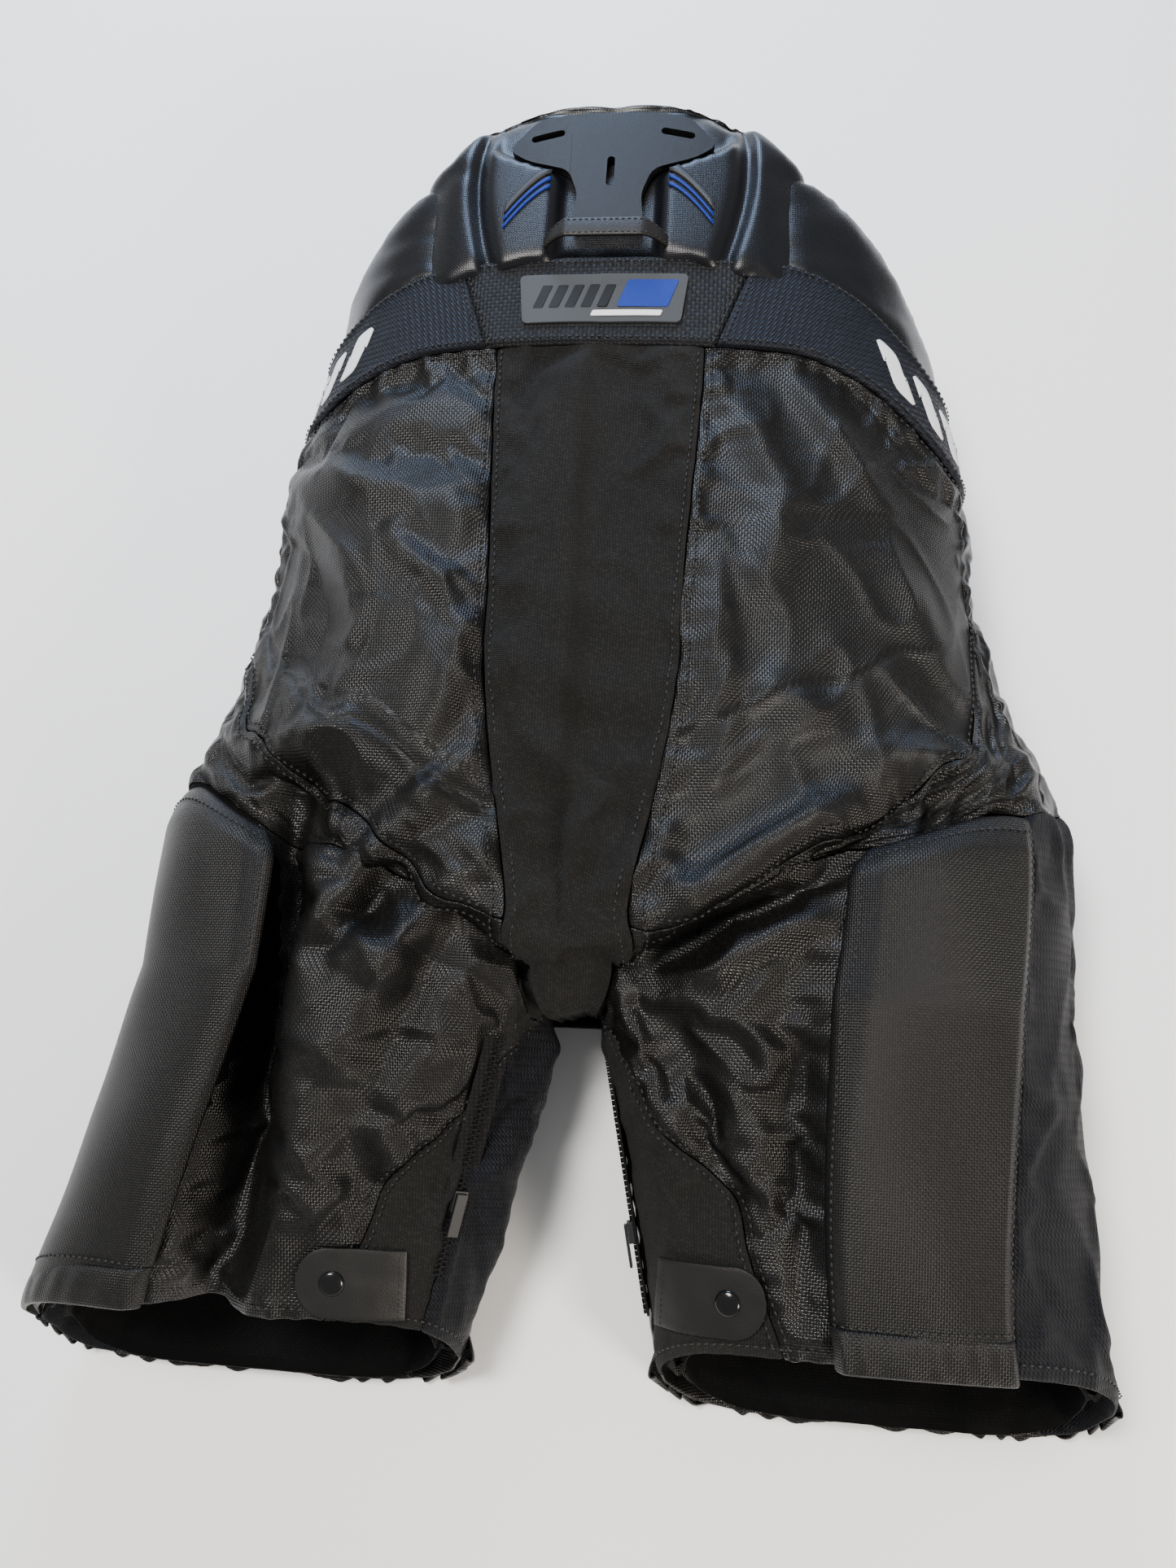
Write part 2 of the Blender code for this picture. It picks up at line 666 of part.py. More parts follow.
def build_inner_pads():
    """Hip plates and foams, the tailbone pad, and the liner that everything is sewn to."""
    plate = (PLATE_DEPTH, PLATE_DEPTH + PLATE)
    foam = (FOAM_DEPTH, FOAM_DEPTH + FOAM)
    for label in SIGNS:
        patch(f"hip_plate_{label}", trunk, window(label, *HIP_PLATE_ANGLES), PAD_ALONG, plate, "hard_plastic")
        patch(f"hip_foam_{label}", trunk, window(label, *HIP_FOAM_ANGLES), HIP_FOAM_ALONG, foam, "foam")
    layer = (PLATE_DEPTH, FOAM_DEPTH + FOAM)
    patch("tailbone_pad", trunk, TAILBONE_ANGLES, PAD_ALONG, layer, "foam")
    right_edge = seam("right", FLY_HALF_WIDTH, CROTCH_MARGIN, True)
    left_edge = mirrored(seam("left", FLY_HALF_WIDTH, CROTCH_MARGIN, True))
    lined = (right_edge, left_edge)
    patch(
        "seat_liner", trunk, lined, (0.0, 1.0), (LINER_DEPTH, LINER_DEPTH + LINER), "lining",
        step=2 * AROUND_STEP,
    )


def build_crotch():
    """The knit gusset between the two legs, upright between the back and the front."""
    height = section_point(90.0, THIGH_SIDE_X["right"], THIGH_HEIGHT, SHELL + LAYER_GAP)[1]
    half = HINGE_X - RUNNING_GAP
    low = CROTCH_Y - CROTCH_MARGIN
    corners = (-half, low, SHELL + LAYER_GAP), (half, low + CROTCH_GUSSET, height)
    flat_box("crotch_gusset", *corners, "stretch_knit")


def build_waist_clip():
    """The webbing, the buckle frame and the clip that slides out of it, at the front of the waist."""
    y = BELT_LOW_Y + BELT_HEIGHT / 2
    low_z = 0.0008
    mid_z = low_z + BUCKLE_THICKNESS / 2
    half = BUCKLE_WIDTH / 2
    low = (-BUCKLE_LENGTH / 2, y - half, low_z)
    high = (BUCKLE_LENGTH / 2, y + half, low_z + BUCKLE_THICKNESS)
    frame = flat_box("buckle_frame", low, high, "hard_plastic")
    wall = BUCKLE_WALL
    bm = bmesh.new()
    bmesh.ops.create_cube(bm, size=1.0)
    bmesh.ops.scale(
        bm, verts=bm.verts[:],
        vec=(BUCKLE_LENGTH, BUCKLE_WIDTH - 2 * wall, BUCKLE_THICKNESS - 2 * wall),
    )
    bmesh.ops.translate(bm, verts=bm.verts[:], vec=(wall * 2, y, mid_z))
    cut(frame, add_object("buckle_cutter", bm, None))
    head = BUCKLE_LENGTH / 2 + BUCKLE_HEAD_GAP
    clip_half = half - wall - RUNNING_GAP
    clip_thick = BUCKLE_THICKNESS / 2 - wall - RUNNING_GAP
    profile = (*CLIP_PRONG_OUTLINE, (head, 0.9), (head + CLIP_BODY_LENGTH, 0.9))

    def place(i, j, inner):
        x, share = profile[i]
        up = clip_thick if inner else -clip_thick
        return Vector((x, y + (2 * j - 1) * clip_half * share, mid_z + up))

    clip = shaped_grid(len(profile) - 1, 1, place)
    add_object("buckle_clip", clip, "hard_plastic", pivot=(head, y, mid_z))
    strap = WEBBING_WIDTH / 2
    strap_z = SHELL - BELT_PROUD + RUNNING_GAP
    inner_x = BUCKLE_LENGTH / 2 + RUNNING_GAP
    for label, side in SIGNS.items():
        ends = sorted((side * inner_x, side * (BELT_FRONT_X + WEBBING_SEWN_LENGTH)))
        low = (ends[0], y - strap, strap_z)
        high = (ends[1], y + strap, strap_z + WEBBING_THICKNESS)
        flat_box(f"waist_webbing_{label}", low, high, "webbing")


def leg_angles(label, first, last):
    """Two angles of a leg fitting, turned with the roll of that leg."""
    roll = LEG_ROLL[label]
    return first + roll, last + roll


def zip_margin(label, way):
    """How many degrees the zip tape's half width takes on one side of the zip's angle."""
    angle = ZIP_ANGLE + LEG_ROLL[label]
    middle = leg_at(label, angle, HEM_BACK_Y, 0.0)
    margin = 0.0
    reach = ZIP_TAPE_WIDTH / 2 + SEAM_GAP
    while (leg_at(label, angle + way * margin, HEM_BACK_Y, 0.0) - middle).length < reach:
        margin += 0.1
    return margin


def build_leg_shell(label, surface):
    """The fabric panels round one leg and the liner inside it."""
    turn = SEAM_TURN
    inside = ZIP_ANGLE - zip_margin(label, -1.0)
    outside = ZIP_ANGLE + zip_margin(label, 1.0)
    shell = (0.0, SHELL)
    panels = (
        ("leg_back_panel", GUARD_SIDE_ANGLE, GUSSET_ANGLE, "ballistic_nylon"),
        ("leg_gusset", GUSSET_ANGLE, inside, "stretch_knit"),
        ("leg_front_panel", outside, 360.0 + SIDE_MESH_FRONT, "ballistic_nylon"),
        ("leg_side_mesh", SIDE_MESH_FRONT, GUARD_SIDE_ANGLE, "side_mesh"),
    )
    for name, first, last, finish in panels:
        span = leg_angles(label, first + turn, last - turn)
        patch(f"{name}_{label}", surface, span, (0.0, 1.0), shell, finish)
    span = leg_angles(label, ZIP_ANGLE + 1.0 - 360.0, ZIP_ANGLE - 1.0)
    patch(
        f"leg_liner_{label}", surface, span, (0.02, 0.98), (LINER_DEPTH, LINER_DEPTH + LINER), "lining",
        step=2 * AROUND_STEP, rows=3,
    )


def build_thigh_guard(label, surface):
    """The stiff guard that stands proud on the back of the leg: cover over plate."""
    span = leg_angles(label, GUARD_SIDE_ANGLE + 0.5, GUARD_BACK_ANGLE)
    plate_out = -RUNNING_GAP - GUARD_PLATE
    cover_out = plate_out - LAYER_GAP - GUARD_SHELL
    layer = (cover_out, cover_out + GUARD_SHELL)
    patch(f"thigh_guard_cover_{label}", surface, span, GUARD_ALONG, layer, "ballistic_nylon")
    inset = leg_angles(label, *GUARD_PLATE_ANGLES)
    layer = (plate_out, plate_out + GUARD_PLATE)
    patch(f"thigh_guard_plate_{label}", surface, inset, PAD_ALONG, layer, "hard_plastic")
    inset = leg_angles(label, *FRONT_PAD_ANGLES)
    layer = (PLATE_DEPTH, FOAM_DEPTH + FOAM)
    patch(f"front_thigh_pad_{label}", surface, inset, PAD_ALONG, layer, "foam")


def zip_frame(label):
    """Start and length of the zip, and its directions forward, across and outward."""
    angle = ZIP_ANGLE + LEG_ROLL[label]
    surface = leg(label)
    start = surface(angle, ZIP_LOW, 0.0)
    end = surface(angle, ZIP_HIGH, 0.0)
    forward = (end - start).normalized()
    level = leg_at(label, angle + 1.0, start.y, 0.0) - leg_at(label, angle - 1.0, start.y, 0.0)
    outward = forward.cross(level)
    outside = leg_at(label, angle, start.y, -0.01) - start
    outward = outward.normalized() if outward.dot(outside) > 0 else -outward.normalized()
    across = outward.cross(forward).normalized()
    return start, (end - start).length, forward, across, outward


def placed_box(bm, size, centre, frame):
    """Adds a box with its own axes: forward, across and outward."""
    forward, across, outward = frame
    turn = Matrix((forward, across, outward)).transposed().to_4x4()
    placed = Matrix.Translation(centre) @ turn @ Matrix.Diagonal((*size, 1.0))
    made = bmesh.ops.create_cube(bm, size=1.0, matrix=placed)
    return made["verts"]


def build_zip(label):
    """The inner zip of one leg: tape and teeth in one strip, the slider on the teeth and its pull."""
    start, length, forward, across, outward = zip_frame(label)
    frame = (forward, across, outward)
    middle = start + forward * length / 2
    tape_top = RUNNING_GAP

    bm = bmesh.new()
    placed_box(bm, (length, ZIP_TAPE_WIDTH, ZIP_TAPE), middle + outward * (tape_top - ZIP_TAPE / 2), frame)
    strip = add_object(f"zip_chain_{label}", bm, "webbing")
    bm = bmesh.new()
    teeth_top = tape_top + ZIP_TEETH_HEIGHT
    depth = ZIP_TEETH_HEIGHT + ZIP_TAPE / 2
    teeth_size = (length - ZIP_END, ZIP_TEETH_WIDTH, depth)
    placed_box(bm, teeth_size, middle + outward * (teeth_top - depth / 2), frame)
    teeth = add_object(f"zip_teeth_{label}", bm, None)
    union = strip.modifiers.new("teeth", "BOOLEAN")
    union.operation = "UNION"
    union.object = teeth

    home = start + forward * (0.30 * length)
    wide = ZIP_TEETH_WIDTH + 2 * (RUNNING_GAP + SLIDER_WALL)
    body_low = tape_top + RUNNING_GAP
    body_top = teeth_top + RUNNING_GAP + SLIDER_WALL
    bm = bmesh.new()
    body_size = (SLIDER_LENGTH, wide, body_top - body_low)
    placed_box(bm, body_size, home + outward * (body_low + body_top) / 2, frame)
    slider = add_object(f"zip_slider_{label}", bm, "metal", pivot=home)
    bm = bmesh.new()
    channel_top = teeth_top + RUNNING_GAP
    channel_low = body_low - 0.002
    channel = (2 * SLIDER_LENGTH, ZIP_TEETH_WIDTH + 2 * RUNNING_GAP, channel_top - channel_low)
    placed_box(bm, channel, home + outward * (channel_low + channel_top) / 2, frame)
    cut(slider, add_object(f"slider_cutter_{label}", bm, None, pivot=home))

    pull_low = body_top + RUNNING_GAP
    hinge = home + outward * (pull_low + PULL_THICKNESS / 2) + forward * (SLIDER_LENGTH / 2 - 0.002)
    bm = bmesh.new()
    pull_size = (PULL_LENGTH, PULL_WIDTH, PULL_THICKNESS)
    placed_box(bm, pull_size, hinge - forward * (PULL_LENGTH - PULL_THICKNESS) / 2, frame)
    add_object(f"zip_pull_{label}", bm, "metal", pivot=hinge)


def build_snap_tab(label):
    """The tab that holds the bottom of the zip, with its snap cap, and the snap's post on the leg."""
    y = TAB_Y[label]
    centre, half_width, _ = leg_section(label, y)
    sewn = TAB_SEWN_X[label]
    columns = (0.0, 0.2, 0.4, 0.58, 0.74, 0.86, 0.95, 1.0)
    low = -RUNNING_GAP - SNAP_POST_HEIGHT - RUNNING_GAP
    half = TAB_WIDTH / 2

    def place(i, j, inner):
        along = columns[i] * TAB_LENGTH
        rest = max(along - (TAB_LENGTH - half), 0.0)
        reach = max(math.sqrt(max(half * half - rest * rest, 0.0)), 0.25 * half)
        angle = angle_at(sewn + along - centre, half_width)
        return leg_at(label, angle, y + (2 * j - 1) * reach, low if inner else low - TAB_THICKNESS)

    bm = shaped_grid(len(columns) - 1, 1, place)
    angle = angle_at(sewn - centre, half_width)
    pivot = leg_at(label, angle, y, low)
    add_object(f"snap_tab_{label}", bm, "synthetic_leather", pivot=pivot)

    snap_x = sewn + TAB_LENGTH - half
    snap_angle = angle_at(snap_x - centre, half_width)
    base = leg_at(label, snap_angle, y, 0.0)
    near = leg_at(label, snap_angle + 3.0, y, 0.0) - leg_at(label, snap_angle - 3.0, y, 0.0)
    ahead = leg_at(label, snap_angle, y + 0.01, 0.0) - base
    normal = near.cross(ahead).normalized()
    normal = normal if normal.z > 0 else -normal
    turn = normal.to_track_quat("Z", "Y").to_matrix().to_4x4()
    reach = (leg_at(label, snap_angle, y, low - TAB_THICKNESS) - base).dot(normal)
    bm = bmesh.new()
    at = Matrix.Translation(base + normal * (reach + 2 * RUNNING_GAP + SNAP_HEIGHT / 2)) @ turn
    bmesh.ops.create_cone(
        bm,
        cap_ends=True,
        segments=20,
        radius1=SNAP_RADIUS,
        radius2=SNAP_TAPER * SNAP_RADIUS,
        depth=SNAP_HEIGHT,
        matrix=at,
    )
    add_object(f"snap_cap_{label}", bm, "hard_plastic", pivot=pivot)
    bm = bmesh.new()
    at = Matrix.Translation(base + normal * (RUNNING_GAP + (reach - TAB_THICKNESS) / 2 - RUNNING_GAP)) @ turn
    bmesh.ops.create_cone(
        bm, cap_ends=True, segments=14, radius1=SNAP_POST_RADIUS, radius2=SNAP_POST_RADIUS,
        depth=SNAP_POST_HEIGHT - 2 * RUNNING_GAP, matrix=at,
    )
    add_object(f"snap_post_{label}", bm, "metal")


def build_leg(label):
    """One leg with its guard, zip and snap tab."""
    surface = leg(label)
    build_leg_shell(label, surface)
    build_thigh_guard(label, surface)
    build_zip(label)
    build_snap_tab(label)


def main():
    """Builds every piece."""
    build_trunk_shell()
    build_fly()
    build_belt()
    build_pads_above_belt()
    build_spine_plate()
    build_grab_loop()
    build_inner_pads()
    build_crotch()
    build_waist_clip()
    for label in SIGNS:
        build_leg(label)


main()
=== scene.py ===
"""Ice hockey pants laid face down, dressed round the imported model: draped shell, pads, belt and fittings."""

import logging
import math
from dataclasses import dataclass, field
from enum import Enum
from functools import partial
from typing import Callable, Sequence

import bmesh
import bpy
from mathutils import Matrix, Vector, noise
from mathutils.bvhtree import BVHTree


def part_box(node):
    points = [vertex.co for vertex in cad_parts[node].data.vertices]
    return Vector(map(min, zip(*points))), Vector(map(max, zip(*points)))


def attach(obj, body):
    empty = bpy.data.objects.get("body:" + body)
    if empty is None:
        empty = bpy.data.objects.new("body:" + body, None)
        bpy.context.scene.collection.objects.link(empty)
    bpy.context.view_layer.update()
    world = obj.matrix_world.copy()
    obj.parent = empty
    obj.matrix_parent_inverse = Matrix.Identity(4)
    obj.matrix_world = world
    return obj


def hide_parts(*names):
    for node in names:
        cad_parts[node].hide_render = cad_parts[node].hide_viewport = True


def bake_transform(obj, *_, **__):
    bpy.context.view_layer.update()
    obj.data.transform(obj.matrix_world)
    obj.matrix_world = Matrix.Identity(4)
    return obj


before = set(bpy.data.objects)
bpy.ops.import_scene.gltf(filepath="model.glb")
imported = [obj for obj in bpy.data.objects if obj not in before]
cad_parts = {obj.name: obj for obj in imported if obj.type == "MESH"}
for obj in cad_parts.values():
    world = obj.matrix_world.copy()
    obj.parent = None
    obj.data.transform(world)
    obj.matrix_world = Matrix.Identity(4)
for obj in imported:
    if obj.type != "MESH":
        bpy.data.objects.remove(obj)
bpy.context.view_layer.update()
LOG = logging.getLogger("hockey_pants")

UP = Vector((0.0, 0.0, 1.0))
Piece = bpy.types.Object
Shape = bmesh.types.BMesh
Socket = bpy.types.NodeSocket
Place = Callable[[float, float], Vector]
Edge = Callable[[float], float]


class Side(Enum):
    """The wearer's side that a piece belongs to, as it lies in the frame."""

    LEFT = "left"
    RIGHT = "right"

    @property
    def sign(self) -> float:
        """-1 on the left, 1 on the right."""
        return -1.0 if self is Side.LEFT else 1.0

    @property
    def leg(self) -> str:
        """The body of the leg on this side."""
        return f"leg_{self.value}"


def smooth_mix(low: float, high: float, share: float) -> float:
    """Eases between two values.

    Args:
        low: value at share 0.
        high: value at share 1.
        share: place between them, clamped to 0 to 1.

    Returns:
        The eased value.
    """
    share = min(max(share, 0.0), 1.0)
    return low + (high - low) * share * share * (3.0 - 2.0 * share)


def eased(at: float, stations: Sequence[tuple[float, float]]) -> float:
    """Follows a line that eases through stations.

    Args:
        at: where to read the line.
        stations: rising (place, value) pairs.

    Returns:
        The value there.
    """
    if at <= stations[0][0]:
        return stations[0][1]
    for (place, first), (following, second) in zip(stations, stations[1:]):
        if at <= following:
            return smooth_mix(first, second, (at - place) / (following - place))
    return stations[-1][1]


def power(value: float, exponent: float) -> float:
    """The signed power of a cosine or a sine."""
    return math.copysign(abs(value) ** exponent, value)


@dataclass(frozen=True)
class Fold:
    """A long fold of the cloth, seen from above: a ridge if its height is positive, a valley if not."""

    start_x: float
    start_y: float
    end_x: float
    end_y: float
    width: float
    height: float

    def lift(self, x: float, y: float) -> float:
        """How far the fold lifts the cloth at one place.

        Args:
            x: place across the garment.
            y: place along it.

        Returns:
            The lift in metres, which fades at the fold's sides and ends.
        """
        run_x, run_y = self.end_x - self.start_x, self.end_y - self.start_y
        length_squared = run_x * run_x + run_y * run_y
        share = ((x - self.start_x) * run_x + (y - self.start_y) * run_y) / length_squared
        inside = min(max(share, 0.0), 1.0)
        away_x = x - self.start_x - run_x * inside
        away_y = y - self.start_y - run_y * inside
        away = (away_x * away_x + away_y * away_y) / (self.width * self.width)
        if away > 9.0:
            return 0.0
        taper = 0.25 + 0.75 * math.sin(math.pi * min(max(0.08 + 0.84 * inside, 0.0), 1.0))
        return self.height * taper * math.exp(-away)


FOLD_ROWS = {
    Side.LEFT: (
        (-0.152, 0.03, -0.184, -0.25, 0.017, -0.046),
        (-0.118, -0.05, -0.14, -0.235, 0.02, 0.01),
        (-0.06, 0.05, -0.128, -0.04, 0.011, 0.01),
        (-0.078, 0.016, -0.122, -0.055, 0.009, -0.012),
        (-0.052, 0.004, -0.112, -0.095, 0.012, 0.012),
        (-0.062, -0.03, -0.098, -0.12, 0.009, -0.011),
        (-0.152, 0.026, -0.12, -0.034, 0.01, 0.01),
        (-0.122, -0.034, -0.088, -0.056, 0.009, 0.009),
        (-0.11, 0.08, -0.17, 0.052, 0.012, 0.006),
        (-0.062, 0.12, -0.08, 0.04, 0.01, 0.006),
        (-0.075, 0.23, -0.066, 0.12, 0.012, 0.005),
        (-0.1, 0.17, -0.07, 0.14, 0.009, 0.005),
        (-0.15, 0.215, -0.11, 0.2, 0.012, 0.005),
        (-0.105, -0.12, -0.095, -0.215, 0.012, -0.008),
    ),
    Side.RIGHT: (
        (0.036, -0.028, 0.146, 0.04, 0.012, 0.012),
        (0.05, -0.044, 0.14, 0.01, 0.01, -0.013),
        (0.06, -0.06, 0.118, -0.022, 0.01, 0.008),
        (0.014, -0.02, 0.05, 0.012, 0.009, 0.008),
        (0.03, -0.05, 0.06, -0.15, 0.01, 0.008),
        (0.062, -0.08, 0.092, -0.18, 0.01, -0.009),
        (0.118, -0.04, 0.12, -0.2, 0.012, -0.012),
        (0.15, 0.064, 0.215, 0.062, 0.012, 0.008),
        (0.15, 0.04, 0.225, 0.036, 0.01, -0.008),
        (0.07, 0.265, 0.105, 0.205, 0.011, 0.006),
        (0.105, 0.205, 0.096, 0.15, 0.011, 0.006),
        (0.068, 0.16, 0.074, 0.05, 0.012, 0.006),
        (0.107, 0.278, 0.158, 0.205, 0.009, 0.006),
        (0.09, 0.1, 0.13, 0.075, 0.012, 0.005),
        (0.165, 0.17, 0.19, 0.12, 0.012, 0.005),
    ),
}
FOLDS = {side: tuple(Fold(*row) for row in rows) for side, rows in FOLD_ROWS.items()}


@dataclass(frozen=True)
class GarmentForm:
    """The form of the whole garment: a trunk tube that flows into two leg tubes.

    A place on one side of it is u, from 0 at the middle of the back round to 1 at the middle of the front,
    and y, its distance along the body.
    """

    crotch_y: float = -0.06
    seat_y: float = 0.19
    belt_low_y: float = 0.29
    belt_top_y: float = 0.345
    hem_back_y: float = -0.232
    hem_front_y: float = -0.28
    thigh_x: tuple[float, float] = (0.248, 0.278)
    seat_x: tuple[float, float] = (0.196, 0.213)
    waist_x: tuple[float, float] = (0.174, 0.194)
    thigh_height: float = 0.142
    seat_height: float = 0.16
    waist_height: float = 0.158
    leg_inner: tuple[float, float] = (0.048, 0.012)
    leg_outer_hem: float = 0.284
    leg_outer_top: tuple[float, float] = (0.236, 0.266)
    leg_height: tuple[float, float] = (0.104, 0.136)
    roundness: float = 2.5
    floor_sink: float = 0.012
    join_slope: float = 0.455
    hinge_x: float = 0.012
    waist_sag: tuple[float, float] = (0.03, 0.055)

    def pick(self, pair: tuple[float, float], side: Side) -> float:
        """The left or right value of a pair."""
        return pair[0] if side is Side.LEFT else pair[1]

    def section(self, turn: float, half_width: float, height: float, depth: float) -> tuple[float, float]:
        """A point of the flattened oval section.

        Args:
            turn: degrees, 90 at the back and 270 on the floor.
            half_width: half the section's width.
            height: its height over the floor.
            depth: how far inside the outer face the point lies.

        Returns:
            The distance across and the height.
        """
        half = (height + self.floor_sink) / 2
        angle = math.radians(turn)
        across = (half_width - depth) * power(math.cos(angle), 2 / self.roundness)
        up = height - half + (half - depth) * power(math.sin(angle), 2 / self.roundness)
        return across, max(up, depth, 0.0)

    def turn_at(self, across: float, half_width: float) -> float:
        """Degrees at which the outer face is this far across."""
        share = min(max(across / half_width, 0.0), 1.0)
        return math.degrees(math.acos(share ** (self.roundness / 2)))

    def trunk_x(self, side: Side, y: float) -> float:
        """How far the trunk reaches to one side at y."""
        places = (self.crotch_y, self.seat_y, self.belt_top_y)
        reaches = (self.thigh_x, self.seat_x, self.waist_x)
        return eased(y, [(at, self.pick(pair, side)) for at, pair in zip(places, reaches)])

    def trunk_height(self, y: float) -> float:
        """Height of the trunk over the floor at y."""
        stations = (
            (self.crotch_y, self.thigh_height),
            (self.seat_y, self.seat_height),
            (self.belt_top_y, self.waist_height),
        )
        return eased(y, stations)

    def trunk(self, side: Side, turn: float, y: float, depth: float = 0.0) -> Vector:
        """A point of the trunk tube, at a turn counted from the side's outer edge."""
        across, up = self.section(turn, self.trunk_x(side, y), self.trunk_height(y), depth)
        return Vector((side.sign * across, y, up))

    def leg_reach(self, side: Side, y: float) -> tuple[float, float, float]:
        """The leg's inner and outer x at y, and how far up the leg y lies."""
        share = min((y - self.hem_back_y) / (self.crotch_y - self.hem_back_y), 1.0)
        outer_top = self.pick(self.leg_outer_top, side)
        inner = self.leg_inner[0] + (self.leg_inner[1] - self.leg_inner[0]) * share
        return inner, self.leg_outer_hem + (outer_top - self.leg_outer_hem) * share, share

    def leg(self, side: Side, turn: float, y: float, depth: float = 0.0) -> Vector:
        """A point of one leg tube, at a turn counted from its outer edge."""
        inner, outer, share = self.leg_reach(side, y)
        height = self.leg_height[0] + (self.leg_height[1] - self.leg_height[0]) * share
        across, up = self.section(turn, (outer - inner) / 2, height, depth)
        return Vector((side.sign * ((inner + outer) / 2 + across), y, up))

    def join_y(self, side: Side, u: float) -> float:
        """Where trunk and leg meet, at u."""
        across, _ = self.section(90.0 - 180.0 * u, self.pick(self.thigh_x, side), self.thigh_height, 0.0)
        return self.crotch_y + self.join_slope * max(abs(across) - self.hinge_x, 0.0)

    def point(self, side: Side, u: float, y: float, depth: float = 0.0) -> Vector:
        """A point of the garment's smooth form.

        Args:
            side: the side of the garment.
            u: place round it, 0 at the middle of the back.
            y: place along it.
            depth: how far inside the outer face the point lies.

        Returns:
            The point.
        """
        middle = self.join_y(side, u)
        reach = 0.02 + 0.14 * (middle - self.crotch_y)
        share = smooth_mix(0.0, 1.0, (middle + reach - y) / (2 * reach))
        if share <= 0.0:
            return self.trunk(side, 90.0 - 180.0 * u, y, depth)
        on_leg = self.leg(side, 180.0 - 360.0 * u, y, depth)
        if share >= 1.0:
            return on_leg
        return self.trunk(side, 90.0 - 180.0 * u, y, depth).lerp(on_leg, share)

    def sag(self, side: Side, turn: float) -> float:
        """How far the belt line drops at a turn: it is cut high at the back and falls away over the hip."""
        most = self.pick(self.waist_sag, side)
        return eased(turn, ((-75.0, 0.0), (-25.0, most), (12.0, most), (66.0, 0.0)))

    def waist_y(self, side: Side, u: float) -> float:
        """The belt's lower edge at u."""
        return self.belt_low_y - self.sag(side, 90.0 - 180.0 * u)

    def hem_y(self, u: float) -> float:
        """The hem at u, higher at the back than at the front."""
        back = math.sin(math.radians(180.0 - 360.0 * u))
        return smooth_mix(self.hem_back_y, self.hem_front_y, (1.0 - back) / 2)

    def normal(self, side: Side, u: float, y: float) -> Vector:
        """The outward direction of the smooth form at a place."""
        step = 0.004
        around = self.point(side, u + step, y) - self.point(side, u - step, y)
        along = self.point(side, u, y + step) - self.point(side, u, y - step)
        found = around.cross(along) * side.sign
        if found.length < 1e-9:
            return Vector((0.0, 0.0, 1.0))
        found.normalize()
        inside = self.point(side, u, y, 0.01) - self.point(side, u, y)
        return -found if found.dot(inside) > 0 else found


FORM = GarmentForm()


def wrinkle(point: Vector) -> float:
    """Small random creases of the cloth at a point, in metres.

    Args:
        point: place on the smooth form.

    Returns:
        The lift, always small and mostly outwards.
    """
    low = noise.noise(Vector((point.x * 17.0, point.y * 11.0, point.z * 14.0)))
    bent = Vector((point.x * 38.0 + 1.6 * low, point.y * 24.0 - 1.2 * low, point.z * 30.0 + 5.0))
    ridge = 1.0 - abs(noise.noise(bent)) * 2.4
    near_join = abs(point.y - FORM.crotch_y - FORM.join_slope * abs(point.x))
    strong = 0.35 + 0.65 * math.exp(-((near_join / 0.075) ** 2))
    return strong * (0.004 * max(ridge, 0.0) ** 2 + 0.002 * low)


def fold_lift(side: Side, point: Vector, normal: Vector) -> float:
    """The lift of all the named folds at a point.

    Args:
        side: the side of the garment.
        point: place on the smooth form.
        normal: its outward direction, because the folds lie on the upper face.

    Returns:
        The lift along the normal, in metres.
    """
    facing = smooth_mix(0.0, 1.0, (normal.z + 0.05) / 0.45)
    if facing <= 0.0:
        return 0.0
    return facing * sum(fold.lift(point.x, point.y) for fold in FOLDS[side])


